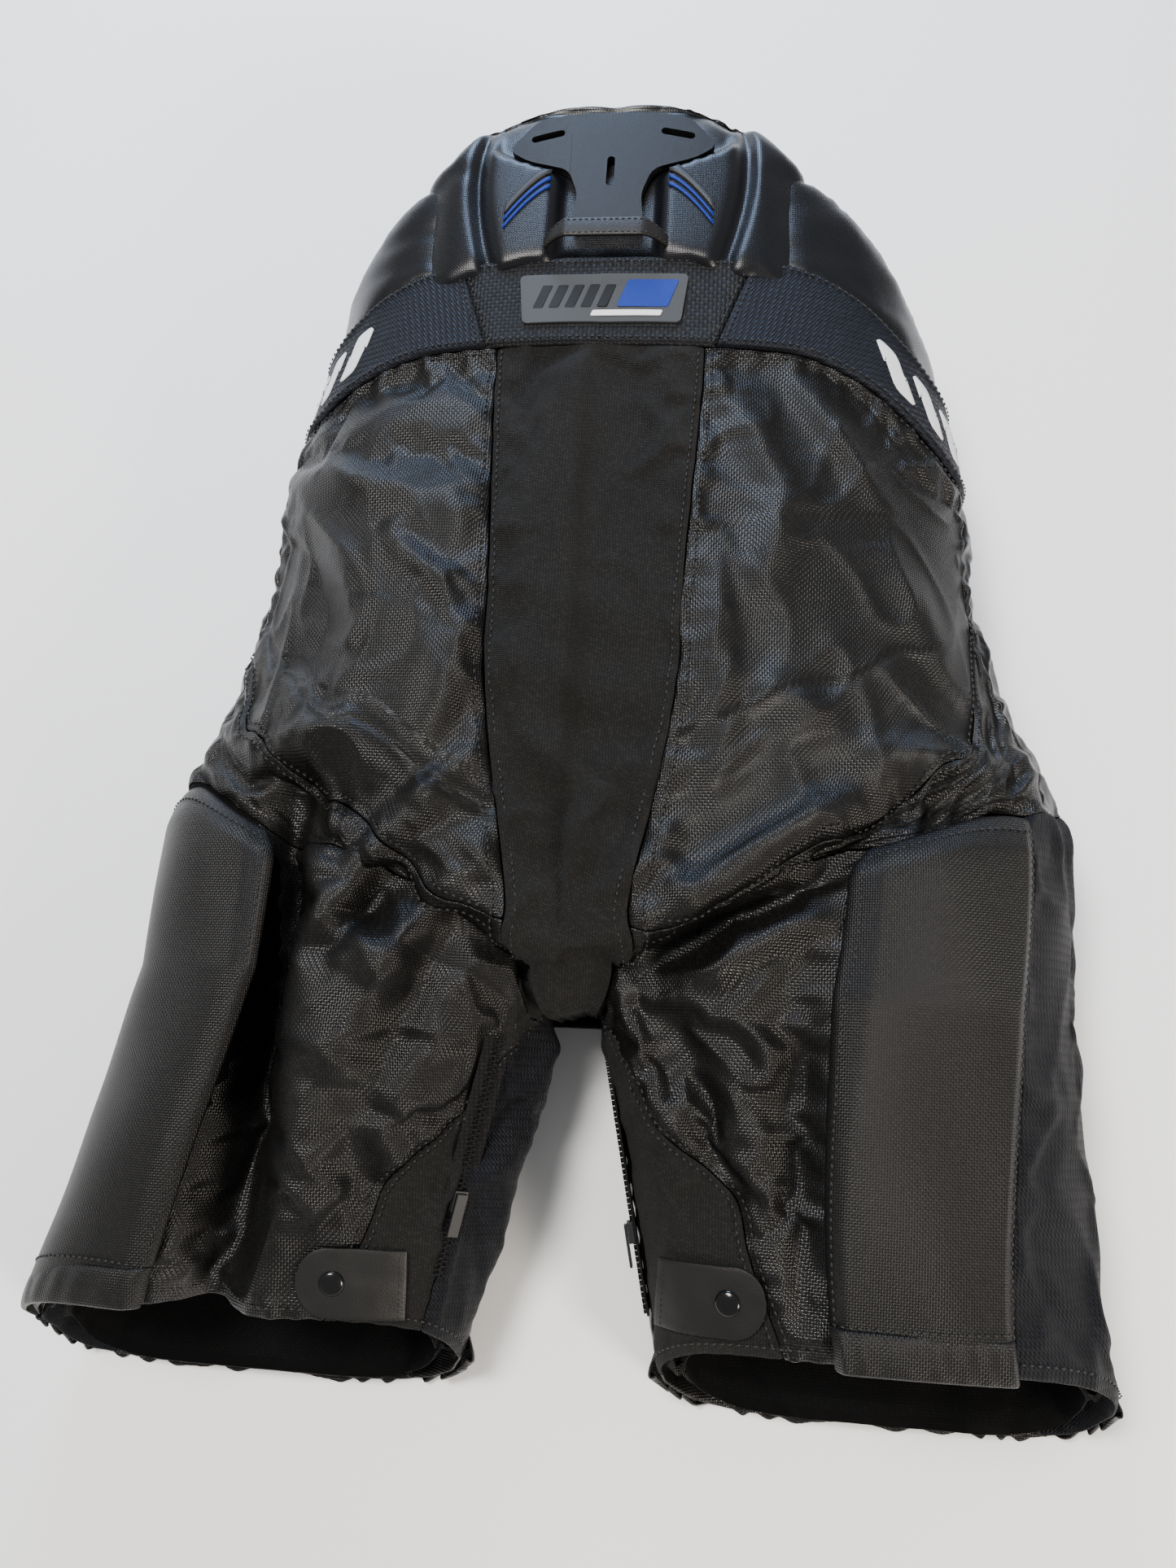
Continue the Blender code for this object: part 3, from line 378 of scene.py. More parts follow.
@dataclass
class Toile:
    """A coarse simulated cloth of one side, whose creases every fine piece of that side takes on."""

    side: Side
    columns: int = 96
    rows: int = 84
    growth: float = 0.055
    frames: int = 20
    cap: float = 0.011
    offsets: list[list[Vector]] = field(default_factory=list)

    def span(self, u: float) -> tuple[float, float]:
        """The lowest and highest y of the cloth at u."""
        return FORM.hem_y(u), FORM.waist_y(self.side, u)

    def pinned(self, u: float, y: float) -> float:
        """How firmly seams and stiff parts hold the cloth at a place, from 0 to 1."""
        held = 1.0 if y > FORM.waist_y(self.side, u) - 0.006 or y < FORM.hem_y(u) + 0.012 else 0.0
        seams = (inner_seam(self.side, y), side_seam(self.side, y), 0.7)
        if min(abs(u - seam) for seam in seams) < 0.006 or u > 0.95:
            held = 1.0
        first, last = guard_span(self.side, y)
        if first < u < last and y < FORM.join_y(self.side, u) - 0.01:
            held = 1.0
        return held

    def simulate(self) -> None:
        """Grows the pinned cloth until it buckles, and keeps how far each of its points moved."""
        bm = bmesh.new()
        bmesh.ops.create_grid(bm, x_segments=self.columns, y_segments=self.rows, size=1.0)
        mesh = bpy.data.meshes.new(f"toile_{self.side.value}")
        for vert in bm.verts:
            u, y = self.place((vert.co.x + 1) / 2, (vert.co.y + 1) / 2)
            vert.co = draped(self.side, u, y)
        bmesh.ops.recalc_face_normals(bm, faces=bm.faces[:])
        bm.to_mesh(mesh)
        bm.free()
        obj = bpy.data.objects.new(mesh.name, mesh)
        bpy.context.scene.collection.objects.link(obj)
        pins = obj.vertex_groups.new(name="pins")
        flat = [Vector(vert.co) for vert in mesh.vertices]
        order = self.grid_order()
        for index, (i, j) in order.items():
            u, y = self.place(i / self.columns, j / self.rows)
            pins.add([index], self.pinned(u, y), "REPLACE")
        moved = simulate_cloth(obj, self.frames, pressure=1.2, growth=self.growth, pins="pins", bending=0.35)
        table = [[Vector() for _ in range(self.rows + 1)] for _ in range(self.columns + 1)]
        for index, (i, j) in order.items():
            shift = moved[index] - flat[index]
            if shift.length > self.cap:
                shift *= self.cap / shift.length
            table[i][j] = shift
        self.offsets = table
        bpy.data.objects.remove(obj, do_unlink=True)

    def grid_order(self) -> dict[int, tuple[int, int]]:
        """Column and row of each vertex that create_grid makes."""
        wide = self.columns + 1
        return {index: (index % wide, index // wide) for index in range(wide * (self.rows + 1))}

    def place(self, across: float, along: float) -> tuple[float, float]:
        """The u and y of a place given as shares of the cloth."""
        u = min(max(across, 0.002), 0.998)
        low, high = self.span(u)
        return u, low + (high - low) * along

    def shift(self, u: float, y: float) -> Vector:
        """The simulated movement of the cloth at a place.

        Args:
            u: place round the side.
            y: place along it.

        Returns:
            The movement, mixed from the four nearest points.
        """
        if not self.offsets:
            return Vector()
        low, high = self.span(u)
        across = min(max(u, 0.0), 1.0) * self.columns
        along = min(max((y - low) / (high - low), 0.0), 1.0) * self.rows
        i, j = min(int(across), self.columns - 1), min(int(along), self.rows - 1)
        fx, fy = across - i, along - j
        table = self.offsets
        first = table[i][j].lerp(table[i + 1][j], fx)
        return first.lerp(table[i][j + 1].lerp(table[i + 1][j + 1], fx), fy)


TOILES = {side: Toile(side) for side in Side}


def inner_seam(side: Side, y: float) -> float:
    """The u of the seam along the centre panel, which goes on as the edge of the leg's knit gusset."""
    half = eased(y, ((-0.06, 0.028), (0.115, 0.051), (0.29, 0.058)))
    on_trunk = (90.0 - FORM.turn_at(half, FORM.trunk_x(side, y))) / 180.0
    on_leg = eased(y, ((-0.25, 0.196), (-0.17, 0.176), (-0.11, 0.105), (-0.06, 0.03)))
    return smooth_mix(on_leg, on_trunk, (y + 0.06) / 0.04)


def side_seam(side: Side, y: float) -> float:
    """The u of the long seam at the side, which ends at the guard's outer edge."""
    return smooth_mix(guard_span(side, y)[1], 75.0 / 180.0, (y + 0.02) / 0.12)


def guard_span(side: Side, y: float) -> tuple[float, float]:
    """First and last u of the thigh guard at y, which is rolled outwards on the left leg."""
    if side is Side.LEFT:
        return eased(y, ((-0.23, 0.296), (0.03, 0.284))), eased(y, ((-0.23, 0.478), (0.03, 0.47)))
    return eased(y, ((-0.23, 0.224), (0.0, 0.25))), eased(y, ((-0.23, 0.318), (0.02, 0.368)))


def calm(side: Side, point: Vector) -> float:
    """How freely the cloth folds at a place: little under the snap tabs, fully away from them."""
    middle = (-0.1, -0.212) if side is Side.LEFT else (0.078, -0.207)
    away = math.hypot((point.x - middle[0]) / 0.04, (point.y - middle[1]) / 0.032)
    return smooth_mix(0.15, 1.0, (away - 0.7) / 0.9) if point.z > 0.04 else 1.0


def draped(side: Side, u: float, y: float, depth: float = 0.0) -> Vector:
    """A point of the draped cloth.

    Args:
        side: the side of the garment.
        u: place round it.
        y: place along it.
        depth: how far inside the outer face the point lies.

    Returns:
        The point with its folds, creases and simulated movement.
    """
    base = FORM.point(side, u, y)
    normal = FORM.normal(side, u, y)
    loose = calm(side, base)
    lift = fold_lift(side, base, normal) + wrinkle(base) * smooth_mix(0.2, 1.0, (base.z - 0.01) / 0.05)
    shift = TOILES[side].shift(u, y) * loose
    lift = lift * loose + max(shift.dot(normal), -0.0035)
    slide = shift - normal * shift.dot(normal)
    inset = FORM.point(side, u, y, depth) if depth > 0.0 else base - normal * depth
    placed = inset + normal * lift + slide
    placed.z = max(placed.z, max(depth, 0.0))
    return placed


CLOTH = {
    "quality": 5,
    "mass": 0.25,
    "tension_stiffness": 12.0,
    "compression_stiffness": 12.0,
    "shear_stiffness": 4.0,
}


def simulate_cloth(
    obj: Piece,
    frames: int,
    pressure: float,
    growth: float = 0.0,
    pins: str = "",
    bending: float = 0.5,
) -> list[Vector]:
    """Runs Blender's cloth on an object with gravity off.

    Args:
        obj: the mesh object, linked to the scene.
        frames: how many frames to run.
        pressure: air pressure inside or behind it.
        growth: how much larger the cloth wants to be, as a share.
        pins: vertex group that holds it.
        bending: bending stiffness.

    Returns:
        The final place of each vertex.
    """
    scene = bpy.context.scene
    modifier = obj.modifiers.new("cloth", "CLOTH")
    settings = modifier.settings
    for name, value in CLOTH.items():
        setattr(settings, name, value)
    settings.bending_stiffness = bending
    settings.effector_weights.gravity = 0.0
    settings.use_pressure = True
    settings.uniform_pressure_force = pressure
    settings.shrink_min = -growth
    if pins:
        settings.vertex_group_mass = pins
    modifier.point_cache.frame_start = 1
    modifier.point_cache.frame_end = frames
    for number in range(1, frames + 1):
        scene.frame_set(number)
    graph = bpy.context.evaluated_depsgraph_get()
    evaluated = obj.evaluated_get(graph)
    moved = [Vector(vert.co) for vert in evaluated.to_mesh().vertices]
    evaluated.to_mesh_clear()
    obj.modifiers.remove(modifier)
    scene.frame_set(1)
    return moved


def start_group(name: str, takes: dict[str, float | None], gives: Sequence[str]) -> bpy.types.NodeTree:
    """A new node group with named sockets.

    Args:
        name: the group's name.
        takes: its inputs with their default values, where None marks a vector.
        gives: its outputs, all of them values.

    Returns:
        The group.
    """
    group = bpy.data.node_groups.new(name, "ShaderNodeTree")
    for title, value in takes.items():
        kind = "NodeSocketVector" if value is None else "NodeSocketFloat"
        made = group.interface.new_socket(name=title, in_out="INPUT", socket_type=kind)
        if value is not None:
            made.default_value = value
    for title in gives:
        group.interface.new_socket(name=title, in_out="OUTPUT", socket_type="NodeSocketFloat")
    return group


@dataclass
class Wiring:
    """Short ways to add and link nodes in one tree."""

    tree: bpy.types.NodeTree

    def node(self, kind: str, **settings: object) -> bpy.types.Node:
        """A new node with these properties set."""
        made = self.tree.nodes.new(kind)
        for name, value in settings.items():
            setattr(made, name, value)
        return made

    def feed(self, socket: Socket, value: object) -> None:
        """Links a socket to another one, or sets its value."""
        if isinstance(value, Socket):
            self.tree.links.new(value, socket)
        else:
            socket.default_value = value

    def math(self, operation: str, first: object, second: object = 0.0) -> Socket:
        """The output of a math node."""
        made = self.node("ShaderNodeMath", operation=operation)
        self.feed(made.inputs[0], first)
        self.feed(made.inputs[1], second)
        return made.outputs[0]

    def mix(self, factor: object, first: object, second: object) -> Socket:
        """The colour between two colours."""
        made = self.node("ShaderNodeMix", data_type="RGBA")
        self.feed(made.inputs[0], factor)
        self.feed(made.inputs[6], first)
        self.feed(made.inputs[7], second)
        return made.outputs[2]

    def noise(self, vector: object, scale: float, detail: float) -> Socket:
        """The value of a noise texture."""
        made = self.node("ShaderNodeTexNoise")
        made.inputs["Scale"].default_value = scale
        made.inputs["Detail"].default_value = detail
        self.feed(made.inputs["Vector"], vector)
        return made.outputs["Fac"]

    def add_scaled(self, value: object, factor: float, base: float) -> Socket:
        """A value times a factor, plus a base."""
        made = self.math("MULTIPLY_ADD", value, factor)
        made.node.inputs[2].default_value = base
        return made

    def emboss(self, shader: bpy.types.Node, height: object, strength: float, distance: float) -> None:
        """Feeds a height to a shader's normal through a Bump node."""
        bump = self.node("ShaderNodeBump")
        bump.inputs["Strength"].default_value = strength
        bump.inputs["Distance"].default_value = distance
        self.feed(bump.inputs["Height"], height)
        self.feed(shader.inputs["Normal"], bump.outputs["Normal"])


def weave_group() -> bpy.types.NodeTree:
    """The group for woven and knitted cloth: threads over and under, with a random value for each thread that
    sets its painted glint.
    """
    found = bpy.data.node_groups.get("cloth_weave")
    if found:
        return found
    takes = {"Vector": None, "Threads": 620.0, "Stretch": 1.0, "Slant": 0.0}
    group = start_group("cloth_weave", takes, ("Height", "Thread", "PaintedGlint"))
    wires = Wiring(group)
    enter = wires.node("NodeGroupInput")
    leave = wires.node("NodeGroupOutput")
    split = wires.node("ShaderNodeSeparateXYZ")
    wires.feed(split.inputs[0], enter.outputs["Vector"])
    across = wires.math("MULTIPLY", split.outputs[0], enter.outputs["Threads"])
    along = wires.math("MULTIPLY", split.outputs[1], enter.outputs["Threads"])
    along = wires.math("MULTIPLY", along, enter.outputs["Stretch"])
    along = wires.math("ADD", along, wires.math("MULTIPLY", across, enter.outputs["Slant"]))
    strands = []
    for first, second, phase in ((across, along, 0.0), (along, across, math.pi)):
        body = wires.math("ABSOLUTE", wires.math("SINE", wires.math("MULTIPLY", first, math.pi)))
        row = wires.math("FLOOR", first)
        turn = wires.math("MULTIPLY", wires.math("ADD", second, row), math.pi)
        over = wires.add_scaled(wires.math("SINE", wires.math("ADD", turn, phase)), 0.5, 0.5)
        strands.append(wires.math("MULTIPLY", body, over))
    cell = wires.node("ShaderNodeCombineXYZ")
    wires.feed(cell.inputs[0], wires.math("FLOOR", across))
    wires.feed(cell.inputs[1], wires.math("FLOOR", along))
    random = wires.node("ShaderNodeTexWhiteNoise", noise_dimensions="2D")
    wires.feed(random.inputs["Vector"], cell.outputs[0])
    wires.feed(leave.inputs["Height"], wires.math("MAXIMUM", strands[0], strands[1]))
    wires.feed(leave.inputs["Thread"], wires.math("GREATER_THAN", strands[0], strands[1]))
    wires.feed(leave.inputs["PaintedGlint"], random.outputs["Value"])
    return group


def wear_group() -> bpy.types.NodeTree:
    """The group for slow changes of tone over a surface, such as rubbing and dust."""
    found = bpy.data.node_groups.get("surface_wear")
    if found:
        return found
    group = start_group("surface_wear", {"Vector": None}, ("Patches",))
    wires = Wiring(group)
    enter = wires.node("NodeGroupInput")
    leave = wires.node("NodeGroupOutput")
    wires.feed(leave.inputs["Patches"], wires.noise(enter.outputs["Vector"], 14.0, 5.0))
    return group


@dataclass(frozen=True)
class Finish:
    """What every finish of the garment shares."""

    name: str
    color: tuple[float, float, float]
    # light_color: for cloth, the colour of the painted glints and the painted lit thread crowns; for solids,
    # the paler wear tone
    light_color: tuple[float, float, float]
    roughness: float = 0.5
    specular: float = 0.5
    metallic: float = 0.0
    sheen: float = 0.0
    coat: float = 0.0

    def start(self) -> tuple[bpy.types.Material, Wiring, bpy.types.Node]:
        """A new material with its shader's uniform values set.

        Returns:
            The material, its wiring and its Principled shader.
        """
        made = bpy.data.materials.new(f"{self.name}_finish")
        made.use_nodes = True
        shader = made.node_tree.nodes["Principled BSDF"]
        for socket, value in {
            "Roughness": self.roughness,
            "Specular IOR Level": self.specular,
            "Metallic": self.metallic,
            "Sheen Weight": self.sheen,
            "Coat Weight": self.coat,
        }.items():
            shader.inputs[socket].default_value = value
        made.diffuse_color = (*self.color, 1.0)
        return made, Wiring(made.node_tree), shader

    def tint(self, wires: Wiring, share: object) -> Socket:
        """The colour between the dark and the light one."""
        return wires.mix(share, (*self.color, 1.0), (*self.light_color, 1.0))

    def build(self) -> bpy.types.Material:
        """The finished material; each kind of finish makes its own."""
        raise NotImplementedError


@dataclass(frozen=True)
class ClothFinish(Finish):
    """Woven or knitted cloth that follows the piece's own cloth map; its base colour holds painted glints on
    single threads and painted shade between the threads.
    """

    threads: float = 620.0
    stretch: float = 1.0
    slant: float = 0.0
    relief: float = 0.0005
    strength: float = 0.6
    # strength of the painted glints: random threads painted lighter in the base colour, standing in for glints
    # of light
    painted_glint: float = 0.35
    on_map: bool = True

    def build(self) -> bpy.types.Material:
        """The cloth material."""
        made, wires, shader = self.start()
        place = wires.node("ShaderNodeTexCoord")
        vector = place.outputs["UV" if self.on_map else "Object"]
        weave = wires.node("ShaderNodeGroup", node_tree=weave_group())
        wires.feed(weave.inputs["Vector"], vector)
        weave.inputs["Threads"].default_value = self.threads
        weave.inputs["Stretch"].default_value = self.stretch
        weave.inputs["Slant"].default_value = self.slant
        wear = wires.node("ShaderNodeGroup", node_tree=wear_group())
        wires.feed(wear.inputs["Vector"], place.outputs["Object"])
        # painted glints: the cubed random value of each thread lightens its base colour, standing in for
        # glints of light
        painted_glints = wires.math("POWER", weave.outputs["PaintedGlint"], 3.0)
        share = wires.math("MULTIPLY", painted_glints, self.painted_glint)
        # painted shade: thread crowns take the lighter colour and the hollows between threads stay darker
        share = wires.math("ADD", share, wires.math("MULTIPLY", weave.outputs["Height"], 0.35))
        # the wear patches make the painted glints and painted shade stronger or weaker from place to place
        share = wires.math("MULTIPLY", share, wires.math("ADD", wear.outputs["Patches"], 0.5))
        wires.feed(shader.inputs["Base Color"], self.tint(wires, share))
        rough = wires.add_scaled(weave.outputs["Thread"], 0.1, self.roughness - 0.05)
        rough = wires.math("ADD", rough, wires.math("MULTIPLY", wear.outputs["Patches"], 0.12))
        wires.feed(shader.inputs["Roughness"], wires.math("SUBTRACT", rough, 0.06))
        wires.emboss(shader, weave.outputs["Height"], self.strength, self.relief)
        return made


@dataclass(frozen=True)
class SolidFinish(Finish):
    """Moulded plastic, synthetic leather, rubber, foam or metal with a fine grain."""

    grain: float = 1400.0
    relief: float = 0.0002
    strength: float = 0.4

    def build(self) -> bpy.types.Material:
        """The solid material."""
        made, wires, shader = self.start()
        place = wires.node("ShaderNodeTexCoord").outputs["Object"]
        wear = wires.node("ShaderNodeGroup", node_tree=wear_group())
        wires.feed(wear.inputs["Vector"], place)
        wires.feed(shader.inputs["Base Color"], self.tint(wires, wear.outputs["Patches"]))
        rough = wires.add_scaled(wear.outputs["Patches"], 0.2, self.roughness - 0.1)
        wires.feed(shader.inputs["Roughness"], rough)
        cells = wires.node("ShaderNodeTexVoronoi")
        cells.inputs["Scale"].default_value = self.grain
        wires.feed(cells.inputs["Vector"], place)
        wires.emboss(shader, cells.outputs["Distance"], self.strength, self.relief)
        return made


FINISHES: dict[str, Finish] = {
    finish.name: finish
    for finish in (
        ClothFinish(
            "ballistic_weave", (0.0016, 0.0016, 0.0018), (0.011, 0.0098, 0.0086), 0.33, 0.27,
            threads=680.0, relief=0.0005, strength=0.55, painted_glint=0.45,
        ),
        ClothFinish(
            "guard_weave", (0.0016, 0.0016, 0.0019), (0.013, 0.0118, 0.0106), 0.38, 0.24,
            threads=760.0, relief=0.0005, strength=0.6, painted_glint=0.35,
        ),
        ClothFinish(
            "stretch_knit", (0.0026, 0.0026, 0.0027), (0.034, 0.032, 0.0285), 0.8, 0.14, sheen=0.02,
            threads=640.0, stretch=1.5, slant=0.35, relief=0.0006, strength=1.0, painted_glint=0.2,
        ),
        ClothFinish(
            "side_mesh", (0.0013, 0.0015, 0.0024), (0.011, 0.0125, 0.02), 0.6, 0.22,
            threads=430.0, slant=1.0, relief=0.0009, strength=1.0, painted_glint=0.3,
        ),
        ClothFinish(
            "belt_rib", (0.0014, 0.0019, 0.0036), (0.0075, 0.0095, 0.018), 0.58, 0.2, sheen=0.01,
            threads=560.0, stretch=0.5, relief=0.0006, strength=0.9, painted_glint=0.35,
        ),
        ClothFinish(
            "belt_mesh", (0.0016, 0.0018, 0.0026), (0.014, 0.0142, 0.0165), 0.6, 0.22, sheen=0.01,
            threads=420.0, relief=0.0008, strength=0.9, painted_glint=0.45,
        ),
        ClothFinish(
            "satin_nylon", (0.0012, 0.0014, 0.0022), (0.0045, 0.0052, 0.0085), 0.3, 0.36,
            threads=1100.0, relief=0.0002, strength=0.35, painted_glint=0.2, on_map=False,
        ),
        ClothFinish(
            "satin_panel", (0.0012, 0.0014, 0.0022), (0.0045, 0.0052, 0.0085), 0.3, 0.36,
            threads=1100.0, relief=0.0002, strength=0.35, painted_glint=0.2,
        ),
        ClothFinish(
            "lining_tricot", (0.0016, 0.0016, 0.0017), (0.006, 0.006, 0.0065), 0.9, 0.08,
            threads=600.0, relief=0.0004, strength=0.5, painted_glint=0.2,
        ),
        ClothFinish(
            "webbing_weave", (0.003, 0.003, 0.0033), (0.016, 0.016, 0.017), 0.75, 0.15,
            threads=480.0, relief=0.0006, strength=0.9, painted_glint=0.3, on_map=False,
        ),
        SolidFinish(
            "stitch_thread", (0.006, 0.006, 0.0065), (0.018, 0.017, 0.016), 0.55, 0.4, grain=5000.0,
        ),
        SolidFinish(
            "moulded_plastic", (0.0022, 0.0022, 0.0024), (0.005, 0.005, 0.0055), 0.46, 0.28, grain=2600.0,
        ),
        SolidFinish(
            "synthetic_leather", (0.0075, 0.0071, 0.0068), (0.0135, 0.0126, 0.012), 0.45, 0.28, grain=1500.0,
            relief=0.0002, strength=0.5,
        ),
        SolidFinish(
            "cap_enamel", (0.002, 0.002, 0.002), (0.004, 0.004, 0.004), 0.18, 0.35, coat=0.1, strength=0.02,
        ),
        SolidFinish("label_rubber", (0.028, 0.03, 0.032), (0.042, 0.045, 0.048), 0.6, 0.3, grain=2200.0),
        SolidFinish("label_dark", (0.0022, 0.0024, 0.0028), (0.005, 0.0054, 0.0062), 0.5, 0.2, grain=900.0),
        SolidFinish("print_blue", (0.0008, 0.014, 0.17), (0.0015, 0.022, 0.23), 0.5, 0.25, grain=2200.0),
        SolidFinish("print_grey", (0.012, 0.014, 0.019), (0.022, 0.025, 0.03), 0.5, 0.4, grain=2200.0),
        SolidFinish("print_white", (0.62, 0.63, 0.64), (0.74, 0.75, 0.76), 0.55, 0.4, grain=2200.0),
        SolidFinish(
            "pad_foam", (0.22, 0.22, 0.24), (0.34, 0.34, 0.36), 0.95, 0.2, grain=1800.0, relief=0.0006,
        ),
        SolidFinish("shell_plastic", (0.006, 0.006, 0.007), (0.014, 0.014, 0.016), 0.45, 0.5, grain=900.0),
        SolidFinish(
            "zinc_metal", (0.28, 0.28, 0.3), (0.42, 0.42, 0.44), 0.32, 0.5, metallic=1.0, strength=0.1,
        ),
        SolidFinish("black_metal", (0.006, 0.006, 0.0065), (0.014, 0.014, 0.015), 0.48, 0.3, strength=0.1),
    )
}


def material(name: str) -> bpy.types.Material:
    """The material of a finish, made once."""
    return bpy.data.materials.get(f"{name}_finish") or FINISHES[name].build()


def put(name: str, bm: Shape, finish: str, smooth: bool = True) -> Piece:
    """Makes an object of a bmesh, which it frees.

    Args:
        name: the piece's name.
        bm: its shape, in the frame.
        finish: the name of its finish.
        smooth: whether its faces are shaded smooth.

    Returns:
        The object, at the origin.
    """
    title = f"{name}_soft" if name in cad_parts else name
    mesh = bpy.data.meshes.new(title)
    for face in bm.faces:
        face.smooth = smooth
    bm.to_mesh(mesh)
    bm.free()
    mesh.materials.append(material(finish))
    obj = bpy.data.objects.new(title, mesh)
    bpy.context.scene.collection.objects.link(obj)
    return obj


def add_modifier(obj: Piece, kind: str, **settings: object) -> bpy.types.Modifier:
    """A modifier with these properties set."""
    made = obj.modifiers.new(kind.lower(), kind)
    for name, value in settings.items():
        setattr(made, name, value)
    return made


def map_cloth(bm: Shape, columns: int, rows: int) -> None:
    """Lays the cloth map over a grid in metres: across the garment by arc length, along it by y.

    Args:
        bm: the grid, with its vertices in create_grid's order and in place.
        columns: its faces across.
        rows: its faces along.
    """
    bm.verts.ensure_lookup_table()
    wide = columns + 1
    arcs: dict[int, float] = {}
    for j in range(rows + 1):
        row = [bm.verts[j * wide + i] for i in range(wide)]
        top = max(range(wide), key=lambda i: row[i].co.z)
        arcs[row[top].index] = row[top].co.x
        way = 1.0 if row[-1].co.x >= row[0].co.x else -1.0
        for i in range(top + 1, wide):
            arcs[row[i].index] = arcs[row[i - 1].index] + way * (row[i].co - row[i - 1].co).length
        for i in range(top - 1, -1, -1):
            arcs[row[i].index] = arcs[row[i + 1].index] - way * (row[i].co - row[i + 1].co).length
    layer = bm.loops.layers.uv.verify()
    for face in bm.faces:
        for loop in face.loops:
            loop[layer].uv = (arcs[loop.vert.index], loop.vert.co.y)


def grid(
    name: str, finish: str, size: tuple[int, int], place: Place, wall: float = 0.0016
) -> Piece:
    """A sheet of cloth with a wall, whose outer face is where place puts it.

    Args:
        name: the piece's name.
        finish: the name of its finish.
        size: faces across and along.
        place: gives a point for two shares, across and along.
        wall: thickness, added on the inner side.

    Returns:
        The object, with its cloth map.
    """
    bm = bmesh.new()
    bmesh.ops.create_grid(bm, x_segments=size[0], y_segments=size[1], size=1.0)
    for vert in bm.verts:
        vert.co = place((vert.co.x + 1.0) / 2, (vert.co.y + 1.0) / 2)
    bm.normal_update()
    map_cloth(bm, size[0], size[1])
    obj = put(name, bm, finish)
    if wall:
        add_modifier(obj, "SOLIDIFY", thickness=wall, offset=-1.0, use_rim=True)
    return obj


def face_out(obj: Piece, centre: Vector) -> Piece:
    """Turns an open sheet's faces away from a centre line, before its wall is made."""
    bm = bmesh.new()
    bm.from_mesh(obj.data)
    bm.faces.ensure_lookup_table()
    votes = 0.0
    for face in bm.faces:
        middle = face.calc_center_median()
        away = middle - Vector((centre.x, middle.y, centre.z))
        votes += face.normal.dot(away) * face.calc_area()
    if votes < 0:
        bmesh.ops.reverse_faces(bm, faces=bm.faces[:])
    bm.to_mesh(obj.data)
    bm.free()
    return obj


def merge_into(bm: Shape, part: Shape) -> None:
    """Adds one shape to another, and frees it."""
    mesh = bpy.data.meshes.new("part")
    part.to_mesh(mesh)
    part.free()
    bm.from_mesh(mesh)
    bpy.data.meshes.remove(mesh)


def bevel(bm: Shape, geom: list, width: float, segments: int = 2, affect: str = "EDGES") -> None:
    """Bevels edges or corners of a shape."""
    bmesh.ops.bevel(bm, geom=geom, offset=width, segments=segments, profile=0.5, affect=affect, material=-1)


def spin_round(bm: Shape, geom: list, count: int) -> None:
    """Spins a profile fully round the upright axis."""
    bmesh.ops.spin(bm, geom=geom, cent=(0, 0, 0), axis=UP, angle=math.tau, steps=count, use_merge=True)


def point_out(bm: Shape) -> None:
    """Turns the faces of a closed shape outwards."""
    bmesh.ops.recalc_face_normals(bm, faces=bm.faces[:])
    if bm.calc_volume(signed=True) < 0:
        bmesh.ops.reverse_faces(bm, faces=bm.faces[:])


def soften(obj: Piece) -> None:
    """One subdivision, the same live as rendered."""
    add_modifier(obj, "SUBSURF", levels=1, render_levels=1)


def round_edges(obj: Piece, width: float, angle: float, segments: int = 2) -> None:
    """Rounds the edges that are sharper than an angle."""
    add_modifier(obj, "BEVEL", width=width, segments=segments, limit_method="ANGLE", angle_limit=angle)


def join_on(
    obj: Piece, slot: str, body: str = "trunk", nodes: Sequence[str] = ()
) -> Piece:
    """Hides the nodes that a piece replaces and puts it on its body.

    Args:
        obj: the piece.
        slot: not used.
        body: the body that it rides on.
        nodes: the nodes that it replaces.

    Returns:
        The piece.
    """
    if nodes:
        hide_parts(*nodes)
    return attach(obj, body)


def sheet(
    name: str,
    finish: str,
    size: tuple[int, int],
    place: Place,
    wall: float = 0.0016,
    axis: tuple[float, float] = (0.0, 0.05),
    soft: bool = False,
) -> Piece:
    """A sheet of cloth that faces away from a line along the body.

    Args:
        name: the piece's name.
        finish: the name of its finish.
        size: faces across and along.
        place: gives a point for two shares, across and along.
        wall: thickness, added on the inner side.
        axis: x and z of the line.
        soft: whether it gets a subdivision.

    Returns:
        The sheet.
    """
    obj = face_out(grid(name, finish, size, place, wall), Vector((axis[0], 0.0, axis[1])))
    if soft:
        soften(obj)
    return obj


@dataclass(frozen=True)
class Hinge:
    """The span where cloth crosses from the trunk to a leg."""

    reach: float = 0.02
    across: tuple[float, float] = (0.414, -0.91)
    height: float = 0.07

    def bend(self, obj: Piece, side: Side) -> Piece:
        """Bakes a piece's transform into its mesh; the span it works out is not used."""
        across = Vector((self.across[0] * side.sign, self.across[1], 0.0)).normalized() * self.reach
        middle = Vector((side.sign * FORM.hinge_x, FORM.crotch_y, self.height))
        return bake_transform(obj, "trunk", side.leg, start=middle - across, end=middle + across)


HINGE = Hinge()


